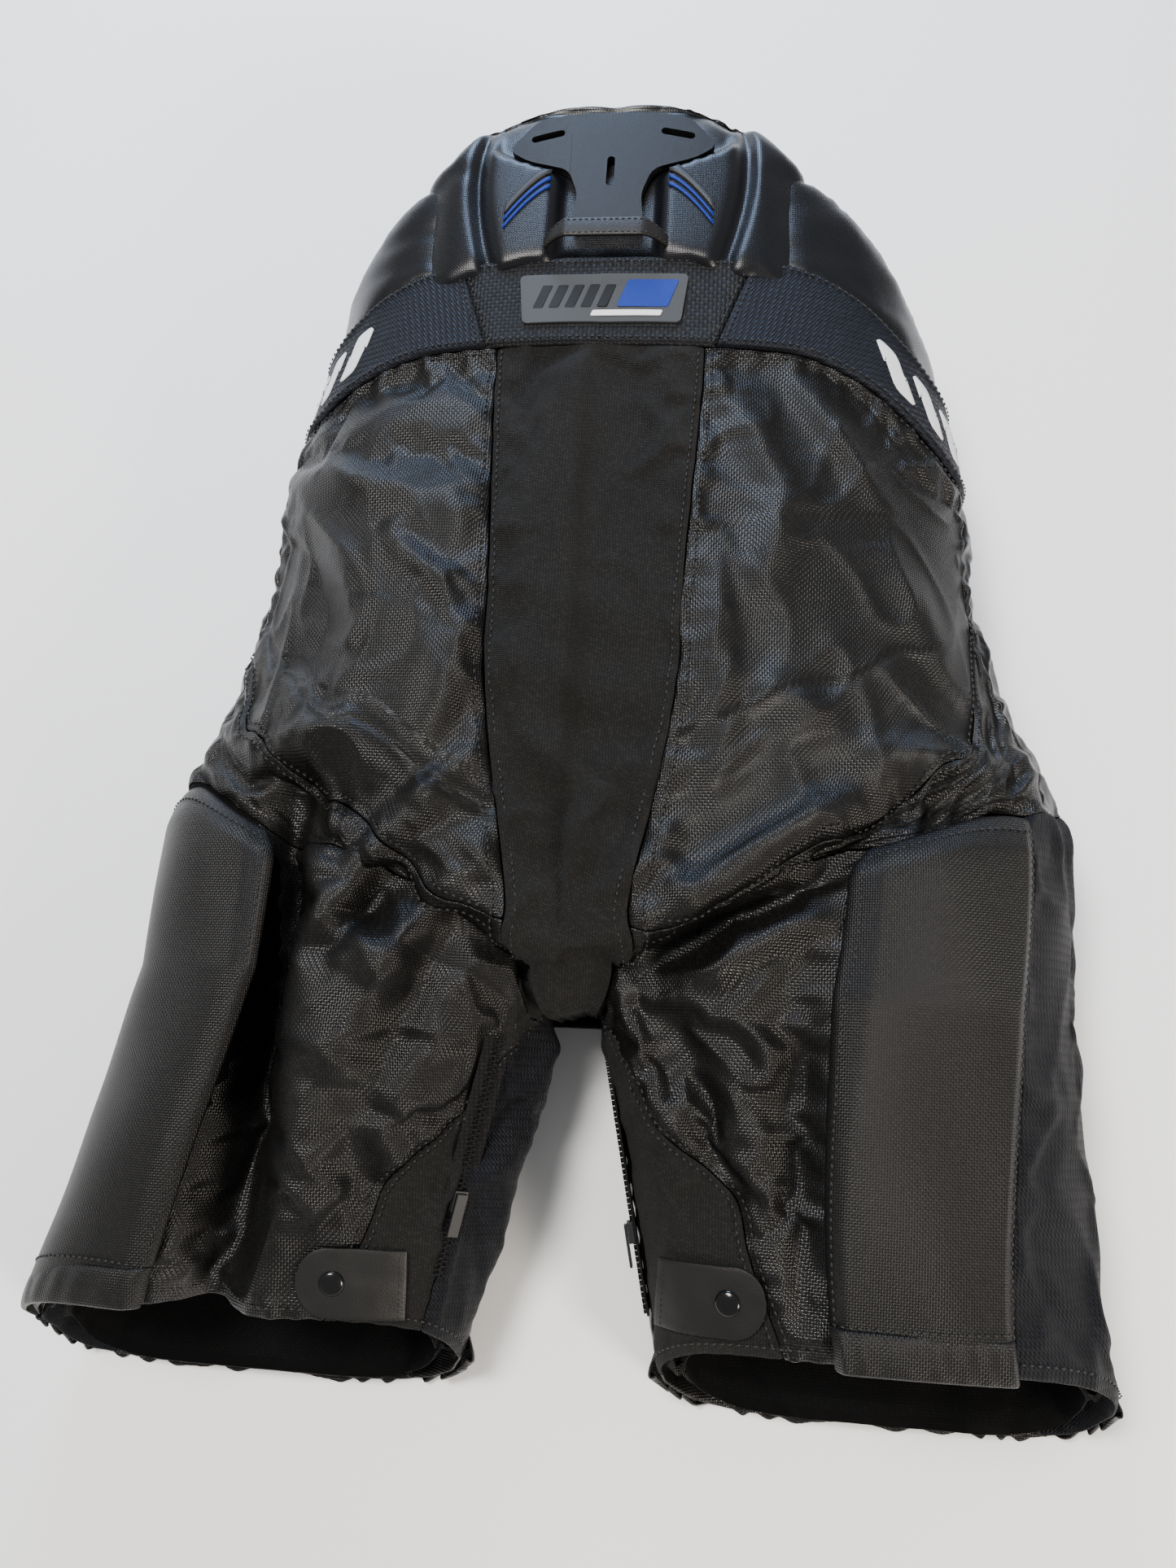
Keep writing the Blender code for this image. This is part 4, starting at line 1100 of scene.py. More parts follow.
@dataclass(frozen=True)
class Panel:
    """One sewn panel of the shell, between two seams and two ends."""

    name: str
    finish: str
    sides: tuple[Edge, Edge]
    ends: tuple[Edge, Edge]
    size: tuple[int, int]
    slot: str
    new: bool = False
    dip: float = 0.0016
    depth: float = 0.0
    pucker: float = 0.0006
    seam_width: float = 0.0045
    pucker_reach: float = 0.014
    pucker_pitch: float = 480.0
    width_of_u: float = 0.75

    def spot(self, across: float, along: float) -> tuple[float, float]:
        """The u and y of a place given as shares of the panel."""
        (first, last), (low, high) = self.sides, self.ends
        middle = 0.5 * (low(0.5) + high(0.5))
        u, y = 0.5 * (first(middle) + last(middle)), 0.0
        for _ in range(3):
            y = low(u) + (high(u) - low(u)) * along
            u = first(y) + (last(y) - first(y)) * across
        return u, y

    def place(self, side: Side, across: float, along: float) -> Vector:
        """A point of the panel's outer face, dipped and puckered along its seams."""
        (first, last), (low, high) = self.sides, self.ends
        u, y = self.spot(across, along)
        point = draped(side, u, y, self.depth)
        if not self.dip:
            return point
        edge = min(across, 1.0 - across) * (max((last(y) - first(y)), 0.01) * self.width_of_u)
        end = min(along, 1.0 - along) * max(high(u) - low(u), 0.01)
        near = math.exp(-((edge / self.seam_width) ** 2)) + math.exp(-((end / self.seam_width) ** 2))
        fringe = math.exp(-min(edge, end) / self.pucker_reach)
        run = y if edge < end else point.x
        wave = math.sin(run * self.pucker_pitch + 3.0 * noise.noise(point * 40.0))
        shift = FORM.normal(side, u, y) * (self.pucker * wave * fringe - self.dip * min(near, 1.0))
        point = point + shift
        point.z = max(point.z, self.depth, 0.0)
        return point

    def build(self, side: Side) -> Piece:
        """The panel as a piece, with its transform baked in."""
        name = f"{self.name}_{side.value}"
        axis = (side.sign * 0.08, 0.06)
        obj = sheet(name, self.finish, self.size, lambda a, b: self.place(side, a, b), axis=axis, soft=True)
        if not self.new:
            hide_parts(name)
        return HINGE.bend(obj, side)


@dataclass
class StitchLine:
    """Stitches sewn along seams, gathered into one piece."""

    name: str
    pitch: float = 0.0042
    length: float = 0.0028
    radius: float = 0.00045
    bm: Shape = field(default_factory=bmesh.new)

    def sew(self, route: Sequence[Vector], lift: Sequence[Vector]) -> None:
        """Adds stitches along a route.

        Args:
            route: points along the seam, close together.
            lift: outward direction at each point.
        """
        travelled, due = 0.0, 0.0
        for start, end, up in zip(route, route[1:], lift):
            step = end - start
            if step.length < 1e-7:
                continue
            while due <= travelled + step.length:
                at = start + step * ((due - travelled) / step.length)
                turn = step.to_track_quat("Y", "Z").to_matrix().to_4x4()
                shape = Matrix.Diagonal((self.radius * 1.5, self.length / 2, self.radius, 1.0))
                bmesh.ops.create_icosphere(
                    self.bm, subdivisions=1, radius=1.0,
                    matrix=Matrix.Translation(at + up * self.radius * 0.6) @ turn @ shape,
                )
                due += self.pitch
            travelled += step.length

    def along(self, side: Side, places: Sequence[tuple[float, float]]) -> None:
        """Sews along draped places of one side, given as (u, y)."""
        self.sew([draped(side, u, y) for u, y in places], [FORM.normal(side, u, y) for u, y in places])

    def finish_piece(self) -> Piece:
        """The stitches as an object, not yet on a body."""
        return put(self.name, self.bm, "stitch_thread")


def steps(low: float, high: float, count: int) -> list[float]:
    """Evenly spaced values between two ends, both included."""
    return [low + (high - low) * k / count for k in range(count + 1)]


def diagonal_y(side: Side, u: float) -> float:
    """The seam under the seat that rises from the crotch to the side."""
    if side is Side.RIGHT:
        return eased(u, ((0.02, -0.03), (0.16, 0.022), (0.26, 0.062), (0.42, 0.15)))
    return eased(u, ((0.02, -0.03), (0.16, 0.03), (0.28, 0.07), (0.42, 0.12)))


def guard_top_y(side: Side, u: float) -> float:
    """The top of the leg's own panels, an arc over the guard."""
    rise = 0.006 if side is Side.RIGHT else 0.014
    first, last = guard_span(side, 0.0)
    share = min(max((u - first) / (last - first), 0.0), 1.0)
    return FORM.join_y(side, u) - 0.012 + rise * math.sin(math.pi * share)


@dataclass
class Shell:
    """The outer panels of the trunk and of both legs, with their seams."""

    roll: float = 0.024
    roll_y: float = -0.05

    def panels(self, side: Side) -> list[Panel]:
        """The panels of one side.

        Args:
            side: the side of the garment.

        Returns:
            Every panel of it, from the seat to the hem.
        """

        def guard(end: int, by: float) -> Edge:
            """The guard's first or last u at y, shifted."""
            return lambda y: guard_span(side, y)[end] + by

        def fixed(value: float) -> Edge:
            """The same value everywhere."""
            return lambda _: value

        def belt(u: float) -> float:
            """The belt's lower edge at u, with an overlap."""
            return FORM.waist_y(side, u) + 0.004

        hem, inner, outer = FORM.hem_y, partial(inner_seam, side), partial(side_seam, side)
        diagonal, leg_top = partial(diagonal_y, side), partial(guard_top_y, side)
        zip_u = 0.1 if side is Side.LEFT else 0.0056
        nylon, weave, mesh, knit = "ballistic_nylon", "ballistic_weave", "side_mesh", "stretch_knit"
        back_end, front_start, front_mesh = fixed(0.708), fixed(0.955), fixed(0.625)
        base, back_last, mesh_first = (guard(0, 0.01), guard(1, -0.004)), guard(0, 0.014), guard(1, -0.006)
        made = [
            Panel("seat_panel", weave, (inner, outer), (diagonal, belt), (72, 96), nylon),
            Panel("seat_yoke", weave, (inner, outer), (leg_top, diagonal), (84, 36), nylon, new=True),
            Panel("leg_back_panel", weave, (inner, back_last), (hem, leg_top), (56, 96), nylon),
            Panel(
                "guard_base", "lining_tricot", base, (hem, leg_top), (30, 60), "lining",
                new=True, depth=0.003, dip=0.0,
            ),
            Panel(
                "hip_side_panel", "satin_panel", (outer, back_end), (leg_top, belt), (48, 96), nylon,
                pucker=0.0011,
            ),
            Panel("leg_side_mesh", mesh, (mesh_first, front_mesh), (hem, leg_top), (40, 72), mesh),
            Panel("front_panel", weave, (back_end, front_start), (leg_top, belt), (44, 60), nylon),
            Panel("leg_front_panel", weave, (front_mesh, fixed(1.0)), (hem, leg_top), (72, 64), nylon),
            Panel("leg_gusset", knit, (fixed(zip_u), inner), (hem, fixed(-0.052)), (24, 60), knit),
        ]
        if side is Side.LEFT:
            sides, ends = (fixed(0.0), fixed(zip_u)), (hem, fixed(-0.07))
            made.append(Panel("inner_leg_mesh", mesh, sides, ends, (16, 50), mesh, new=True))
        return made

    def centre_panel(self) -> Piece:
        """The knit panel down the middle of the back, over the crotch."""

        def place(across: float, along: float) -> Vector:
            """A point of the panel, which rolls down into the crotch at its lower end."""
            reach = -0.15 + (FORM.belt_low_y + 0.15) * along
            over = max(self.roll_y - reach, 0.0)
            y = max(reach, self.roll_y)
            side = Side.RIGHT if across >= 0.5 else Side.LEFT
            share = abs(across - 0.5) * 2
            u = share * inner_seam(side, y)
            point = draped(side, u, y)
            turn = min(over / self.roll, math.pi / 2)
            drop = self.roll * (1.0 - math.cos(turn)) + max(over - self.roll * math.pi / 2, 0.0)
            point += Vector((0.0, -self.roll * math.sin(turn), -drop))
            point.x *= smooth_mix(1.0, 0.45, over / 0.05)
            ripple = 0.0022 * math.exp(-(((y - 0.045) / 0.07) ** 2)) * math.sin(y * 150.0 + point.x * 26.0)
            edge = (1.0 - share) * 0.05
            dip = 0.0018 * math.exp(-((edge / 0.004) ** 2))
            return point + Vector((0.0, 0.0, ripple * (1.0 - share**4) - dip + 0.0004))

        obj = sheet("centre_stretch_panel", "stretch_knit", (40, 150), place, axis=(0.0, 0.05), soft=True)
        return join_on(obj, "stretch_knit", nodes=("centre_stretch_panel", "crotch_gusset"))

    def front_seam(self) -> Piece:
        """The knit panel under the fly, on the face that lies on the floor."""

        def place(across: float, along: float) -> Vector:
            """A point of the strip under the fly."""
            y = -0.078 + (0.142 + 0.078) * along
            side = Side.RIGHT if across >= 0.5 else Side.LEFT
            u = 1.0 - abs(across - 0.5) * 2 * 0.055
            point = draped(side, u, y)
            point.z = max(point.z, 0.0)
            return point

        obj = sheet("front_seam_panel", "stretch_knit", (24, 60), place, 0.0014, axis=(0.0, 0.08))
        return join_on(obj, "stretch_knit", nodes=("front_seam_panel",))

    def stitching(self, side: Side) -> Piece:
        """The seams' stitches of one side, with their transform baked in."""
        line = StitchLine(f"seam_stitches_{side.value}")
        for offset in (-0.005, 0.0062):
            line.along(side, [(inner_seam(side, y) + offset, y) for y in steps(-0.225, 0.286, 220)])
        for offset in (-0.0042, 0.0042):
            spots = steps(inner_seam(side, 0.0) + 0.01, side_seam(side, 0.13), 120)
            line.along(side, [(u, diagonal_y(side, u) + offset) for u in spots])
        line.along(side, [(u, FORM.waist_y(side, u) - 0.004) for u in steps(0.08, 0.95, 200)])
        line.along(side, [(u, FORM.hem_y(u) + 0.006) for u in steps(0.02, guard_span(side, -0.23)[0], 60)])
        line.along(side, [(u, FORM.hem_y(u) + 0.008) for u in steps(guard_span(side, -0.23)[1], 0.98, 120)])
        return HINGE.bend(line.finish_piece(), side)

    def build(self) -> list[Piece]:
        """Every panel and seam of the shell."""
        made = [self.centre_panel(), self.front_seam()]
        for side in Side:
            made += [panel.build(side) for panel in self.panels(side)]
            made.append(self.stitching(side))
        return made


def pad_form(
    name: str,
    finish: str,
    size: tuple[int, int],
    place: Callable[[float, float, float], Vector],
    pressure: float = 3.5,
    cap: float = 0.006,
    voxel: float = 0.0045,
) -> Piece:
    """A closed pad, puffed by a cloth simulation.

    Args:
        name: the piece's name.
        finish: the name of its finish.
        size: faces across and along.
        place: gives a point for two shares and a layer, 0 outside and 1 inside.
        pressure: the air pressure that puffs it.
        cap: the most that a point may move.
        voxel: the grid that it is remeshed at.

    Returns:
        The pad, with one subdivision.
    """
    bm = bmesh.new()
    bmesh.ops.create_grid(bm, x_segments=size[0], y_segments=size[1], size=1.0)
    made = bmesh.ops.extrude_face_region(bm, geom=bm.faces[:])
    inner = {part for part in made["geom"] if isinstance(part, bmesh.types.BMVert)}
    for vert in bm.verts:
        vert.co = place((vert.co.x + 1) / 2, (vert.co.y + 1) / 2, 1.0 if vert in inner else 0.0)
    point_out(bm)
    obj = put(name, bm, finish)
    remesh = add_modifier(obj, "REMESH", mode="VOXEL", voxel_size=voxel, use_smooth_shade=True)
    graph = bpy.context.evaluated_depsgraph_get()
    solid = bpy.data.meshes.new_from_object(obj.evaluated_get(graph))
    obj.modifiers.remove(remesh)
    obj.data = solid
    solid.name = name
    rest = [Vector(vert.co) for vert in solid.vertices]
    moved = simulate_cloth(obj, 20, pressure, bending=0.6)
    for vert, start, end in zip(solid.vertices, rest, moved):
        shift = end - start
        if shift.length > cap:
            shift *= cap / shift.length
        vert.co = start + shift
        vert.co.z = max(vert.co.z, 0.0)
    bm = bmesh.new()
    bm.from_mesh(solid)
    axes = {"use_axis_x": True, "use_axis_y": True, "use_axis_z": True}
    for _ in range(3):
        bmesh.ops.smooth_vert(bm, verts=bm.verts[:], factor=0.5, **axes)
    bm.to_mesh(solid)
    bm.free()
    for face in solid.polygons:
        face.use_smooth = True
    if not solid.materials:
        solid.materials.append(material(finish))
    soften(obj)
    return obj


@dataclass
class ThighGuard:
    """The stiff guard on the back of one leg: a padded cover with a folded, stitched hem."""

    side: Side
    rise: float = 0.0092
    corner: float = 0.1
    hem_band: float = 0.021

    @property
    def axis(self) -> tuple[float, float]:
        """The middle line of the leg, which the guard faces away from."""
        return self.side.sign * 0.15, 0.05

    def spot(self, across: float, along: float) -> tuple[float, float]:
        """The u and y of a place given as shares of the guard."""
        y = FORM.hem_back_y + 0.22 * along
        for _ in range(3):
            first, last = guard_span(self.side, y)
            u = first + (last - first) * across
            low, high = FORM.hem_y(u) + 0.001, guard_top_y(self.side, u) - 0.002
            y = low + (high - low) * along
        return u, y

    def crown(self, across: float, along: float) -> float:
        """Height of the cover over the leg, square at its edges and wavy in its middle."""
        edge = min(across, 1.0 - across) / self.corner
        end = min(along * 2.2, (1.0 - along) * 1.4) / self.corner
        square = min(edge, 1.0) ** 0.45 * min(end, 1.0) ** 0.5
        _, y = self.spot(across, along)
        wave = 0.0016 * math.sin(y * 34.0 + 4.0 * across) * math.sin(math.pi * across)
        return 0.0008 + (self.rise - 0.0008) * square + wave * square

    def place(self, across: float, along: float) -> Vector:
        """A point of the cover's outer face."""
        u, y = self.spot(across, along)
        base, normal = FORM.point(self.side, u, y), FORM.normal(self.side, u, y)
        bend = 0.0016 * noise.noise(Vector((base.x * 22.0, y * 15.0, 3.0)))
        return base + normal * (self.crown(across, along) + bend)

    def cover(self) -> Piece:
        """The cover, as a closed shell over the plate."""
        name = f"thigh_guard_cover_{self.side.value}"
        obj = sheet(name, "guard_weave", (64, 110), self.place, 0.0018, self.axis, soft=True)
        return join_on(obj, "ballistic_nylon", self.side.leg, (name,))

    def plate(self) -> Piece:
        """The hard plate inside the cover."""

        def place(across: float, along: float) -> Vector:
            """A point just under the cover."""
            spot = 0.12 + 0.76 * across, 0.1 + 0.8 * along
            return self.place(*spot) - FORM.normal(self.side, *self.spot(*spot)) * 0.003

        name = f"thigh_guard_plate_{self.side.value}"
        obj = sheet(name, "shell_plastic", (20, 30), place, 0.002, self.axis)
        return join_on(obj, "hard_plastic", self.side.leg, (name,))

    def hem(self) -> Piece:
        """The folded band at the guard's lower edge."""

        def place(across: float, along: float) -> Vector:
            """A point of the fold, round from its upper to its lower edge."""
            turn = math.pi * (along - 0.5)
            u, low = self.spot(across, 0.0)
            y = low + self.hem_band / 2 + self.hem_band / 2 * math.sin(turn) - 0.001
            base, normal = FORM.point(self.side, u, y), FORM.normal(self.side, u, y)
            edge = min(across, 1.0 - across) / 0.06
            fold = 0.55 + 0.45 * math.cos(turn) ** 0.35
            height = 0.0016 + (self.rise + 0.0004) * min(edge, 1.0) ** 0.5 * fold
            pucker = 0.0003 * math.sin(across * 44.0 + 3.0 * noise.noise(base * 30.0)) * math.cos(turn)
            return base + normal * (height + pucker)

        name = f"guard_hem_{self.side.value}"
        obj = sheet(name, "guard_weave", (72, 14), place, 0.0014, self.axis, soft=True)
        return join_on(obj, "ballistic_nylon", self.side.leg)

    def stitches(self) -> Piece:
        """Stitches along the hem band and round the cover."""
        line = StitchLine(f"guard_stitches_{self.side.value}")
        for spots in (
            [(a, 0.085) for a in steps(0.03, 0.97, 60)],
            [(0.035, b) for b in steps(0.08, 0.97, 90)],
            [(0.965, b) for b in steps(0.08, 0.97, 90)],
            [(a, 0.965) for a in steps(0.04, 0.96, 60)],
        ):
            ups = [FORM.normal(self.side, *self.spot(a, b)) for a, b in spots]
            line.sew([self.place(a, b) for a, b in spots], ups)
        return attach(line.finish_piece(), self.side.leg)

    def build(self) -> list[Piece]:
        """The guard's pieces."""
        return [self.cover(), self.plate(), self.hem(), self.stitches()]


@dataclass
class GatheredHem:
    """The shirred band round the open front of one leg's hem, which reaches past the back hem."""

    side: Side
    width: float = 0.02

    def place(self, across: float, along: float) -> Vector:
        """A point of the ruffled roll, which turns in at the hem's edge."""
        u = 0.5 + 0.49 * across if self.side is Side.RIGHT else 0.49 + 0.5 * across
        turn = math.pi * (1.15 * along - 0.15)
        bend = noise.noise(Vector((across * 9.0, 1.0, self.side.sign)))
        ruffle = math.sin(across * 84.0 + 9.0 * bend) * (0.75 + 0.9 * bend)
        low = FORM.hem_y(u) - 0.001
        y = low + self.width * (1.0 - math.sin(turn * 0.5 + 0.3)) + 0.0022 * ruffle + 0.003 * bend
        base, normal = FORM.point(self.side, u, y), FORM.normal(self.side, u, y)
        point = base + normal * (0.004 * math.sin(turn) + 0.0032 * ruffle * math.sin(turn * 0.8))
        point.z = max(point.z, 0.0002)
        return point

    def build(self) -> Piece:
        """The band on its leg."""
        name, axis = f"gathered_hem_{self.side.value}", (self.side.sign * 0.16, 0.05)
        obj = sheet(name, "ballistic_weave", (320, 12), self.place, 0.0014, axis, soft=True)
        return join_on(obj, "ballistic_nylon", self.side.leg)


def lined(
    name: str, finish: str, side: Side, spans: tuple[float, float, float, float], depth: float, wall: float
) -> Piece:
    """An inner layer that follows the draped cloth at a depth.

    Args:
        name: the piece's name.
        finish: the name of its finish.
        side: the side of the garment.
        spans: first and last u, lowest and highest y.
        depth: how far inside the outer face it lies.
        wall: its thickness.

    Returns:
        The layer, facing out.
    """
    first, last, low, high = spans

    def place(across: float, along: float) -> Vector:
        """A point at the layer's depth."""
        u = first + (last - first) * across
        return draped(side, u, low + (high - low) * along, depth)

    obj = grid(name, finish, (30, 30), place, wall)
    return face_out(obj, Vector((side.sign * 0.1, 0.0, 0.07)))


@dataclass
class InnerLayers:
    """Liners, foams and pads inside the shell."""

    lining_depth: float = 0.015
    lining_wall: float = 0.0012
    foam_fill: float = 0.9

    def liner(self, side: Side) -> Piece:
        """The lining of the seat and of one leg."""

        def place(across: float, along: float) -> Vector:
            """A point of the lining, from the hem to the belt's upper edge."""
            u = min(max(across, 0.004), 0.996)
            band = FORM.belt_top_y - FORM.belt_low_y
            low, high = FORM.hem_y(u) + 0.004, FORM.waist_y(side, u) + band - 0.002
            y = low + (high - low) * along
            where = FORM.point if y > FORM.waist_y(side, u) else draped
            return where(side, u, y, self.lining_depth)

        name, axis = f"lining_{side.value}", (side.sign * 0.1, 0.07)
        obj = sheet(name, "lining_tricot", (90, 90), place, self.lining_wall, axis)
        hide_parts(f"leg_liner_{side.value}", *(["seat_liner"] if side is Side.RIGHT else []))
        return HINGE.bend(obj, side)

    def pads(self, side: Side) -> list[Piece]:
        """The hip foam, the hip plate and the front thigh pad of one side."""
        made = []
        for stem, finish, spans, depth, wall, slot, body in (
            ("hip_foam", "pad_foam", (0.24, 0.65, 0.12, 0.225), 0.0075, 0.0065, "foam", "trunk"),
            ("hip_plate", "shell_plastic", (0.26, 0.62, 0.13, 0.22), 0.004, 0.002, "hard_plastic", "trunk"),
            ("front_thigh_pad", "pad_foam", (0.69, 0.9, -0.215, -0.07), 0.004, 0.0095, "foam", side.leg),
        ):
            name = f"{stem}_{side.value}"
            obj = lined(name, finish, side, spans, depth, wall)
            made.append(join_on(obj, slot, body, (name,)))
        return made

    def tailbone(self) -> Piece:
        """The pad under the centre panel."""

        def place(across: float, along: float) -> Vector:
            """A point of the pad, under the centre panel."""
            side = Side.RIGHT if across >= 0.5 else Side.LEFT
            return draped(side, abs(across - 0.5) * 2 * 0.04, 0.03 + 0.19 * along, 0.005)

        obj = sheet("tailbone_pad", "pad_foam", (12, 30), place, 0.0085, axis=(0.0, 0.05))
        return join_on(obj, "foam", nodes=("tailbone_pad",))

    def build(self) -> list[Piece]:
        """Every inner layer."""
        made = [self.tailbone()]
        for side in Side:
            made += [self.liner(side), *self.pads(side)]
        return made


def side_of(across: float) -> Side:
    """The side that a signed distance from the middle lies on."""
    return Side.RIGHT if across >= 0 else Side.LEFT


def waist_turn(side: Side, across: float, front: bool = False) -> float:
    """Degrees at the waist section of a place this far from the middle."""
    turn = FORM.turn_at(abs(across), FORM.pick(FORM.waist_x, side))
    return -turn if front else turn


def waist_out(side: Side, turn: float, y: float) -> Vector:
    """The outward direction of the waist's form."""
    return (FORM.trunk(side, turn, y) - FORM.trunk(side, turn, y, 0.01)).normalized()


def waist_point(side: Side, turn: float, y: float, lift: float = 0.0) -> Vector:
    """A point on the waist's form, lifted off it."""
    base = FORM.trunk(side, turn, y)
    return base + waist_out(side, turn, y) * lift if lift else base


@dataclass
class Belt:
    """The belt round the waist in three sections, with its label and printed blocks."""

    proud: float = 0.0018
    roll: float = 0.035
    stitch_y: float = 0.3
    low_x: float = 0.062
    top_x: float = 0.084
    front_x: float = 0.052
    blocks: int = 6
    block_turns: tuple[float, float] = (44.0, -20.0)

    def band(self, side: Side, turn: float, along: float) -> Vector:
        """A point of the belt's outer face, rolled over at its two edges."""
        y = FORM.belt_low_y - 0.001 + (FORM.belt_top_y - FORM.belt_low_y + 0.002) * along
        y -= FORM.sag(side, turn)
        edge = min(along, 1.0 - along)
        welt = 0.001 * math.exp(-(((edge - 0.06) / self.roll) ** 2))
        crown = self.proud * (1.0 - math.exp(-edge / self.roll)) + welt
        soft = 0.0007 * noise.noise(Vector((turn * 0.12, along * 3.0, side.sign)))
        return waist_point(side, turn, y, crown + soft + 0.0006)

    def seam_x(self, along: float) -> float:
        """Half width of the centre section."""
        return self.low_x + (self.top_x - self.low_x) * along

    def centre(self) -> Piece:
        """The section across the back, in a coarser mesh."""

        def place(across: float, along: float) -> Vector:
            """A point of the section, pressed in at its two seams."""
            x = (2 * across - 1.0) * self.seam_x(along)
            side = side_of(x)
            edge = (1.0 - abs(2 * across - 1.0)) * 0.07
            point = self.band(side, waist_turn(side, x), along)
            return point - Vector((0.0, 0.0, 0.0014 * math.exp(-((edge / 0.004) ** 2))))

        obj = sheet("belt_back", "belt_mesh", (48, 24), place, 0.0018, axis=(0.0, 0.05))
        return join_on(obj, "belt_fabric", nodes=("belt_back",))

    def wrap(self, side: Side) -> Piece:
        """The section round one hip to the front."""

        def place(across: float, along: float) -> Vector:
            """A point of the section, from its seam to the front."""
            start = waist_turn(side, self.seam_x(along))
            end = waist_turn(side, self.front_x, front=True)
            turn = start + (end - start) * across
            point = self.band(side, turn, along)
            point.z = max(point.z, 0.0)
            return point

        obj = sheet(f"belt_{side.value}", "belt_rib", (96, 24), place, 0.0018, axis=(0.0, 0.07))
        return join_on(obj, "belt_fabric", nodes=(f"belt_{side.value}",))

    def printed(self, side: Side) -> Piece:
        """Plain slanted white blocks printed round the side of the belt."""
        bm = bmesh.new()
        start, end = self.block_turns
        share = 1.0 / self.blocks
        for k in range(self.blocks):
            part = bmesh.new()
            bmesh.ops.create_grid(part, x_segments=8, y_segments=10, size=1.0)
            for vert in part.verts:
                across, along = (vert.co.x + 1) / 2, (vert.co.y + 1) / 2
                slanted = (k + 0.16 + 0.58 * across + 0.3 * (0.5 - along)) * share
                height = 0.24 + 0.46 * along
                round_off = 0.1 * (abs(2 * across - 1) ** 5) * (1.0 if along > 0.5 else -1.0)
                turn = start + (end - start) * slanted
                base = self.band(side, turn, height - round_off * 0.5)
                vert.co = base + waist_out(side, turn, base.y) * 0.0004
            merge_into(bm, part)
        obj = put(f"belt_blocks_{side.value}", bm, "print_white")
        face_out(obj, Vector((0.0, 0.0, 0.07)))
        add_modifier(obj, "SOLIDIFY", thickness=0.0007, offset=-1.0)
        return join_on(obj, "label_rubber")

    def stitches(self) -> Piece:
        """Stitches along both edges of the belt and down its two seams."""
        line = StitchLine("belt_stitches")
        for side in Side:
            for along in (0.07, 0.93):
                turns = steps(90.0, waist_turn(side, self.front_x, front=True), 170)
                route = [self.band(side, turn, along) for turn in turns]
                line.sew(route, [waist_out(side, turn, self.stitch_y) for turn in turns])
            for offset in (-0.0028, 0.0028):
                spots = [(waist_turn(side, self.seam_x(b) + offset), b) for b in steps(0.05, 0.95, 30)]
                line.sew([self.band(side, turn, b) for turn, b in spots], [UP] * len(spots))
        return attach(line.finish_piece(), "trunk")

    def build(self) -> list[Piece]:
        """The belt's pieces."""
        made = [self.centre(), self.stitches()]
        for side in Side:
            made += [self.wrap(side), self.printed(side)]
        return made


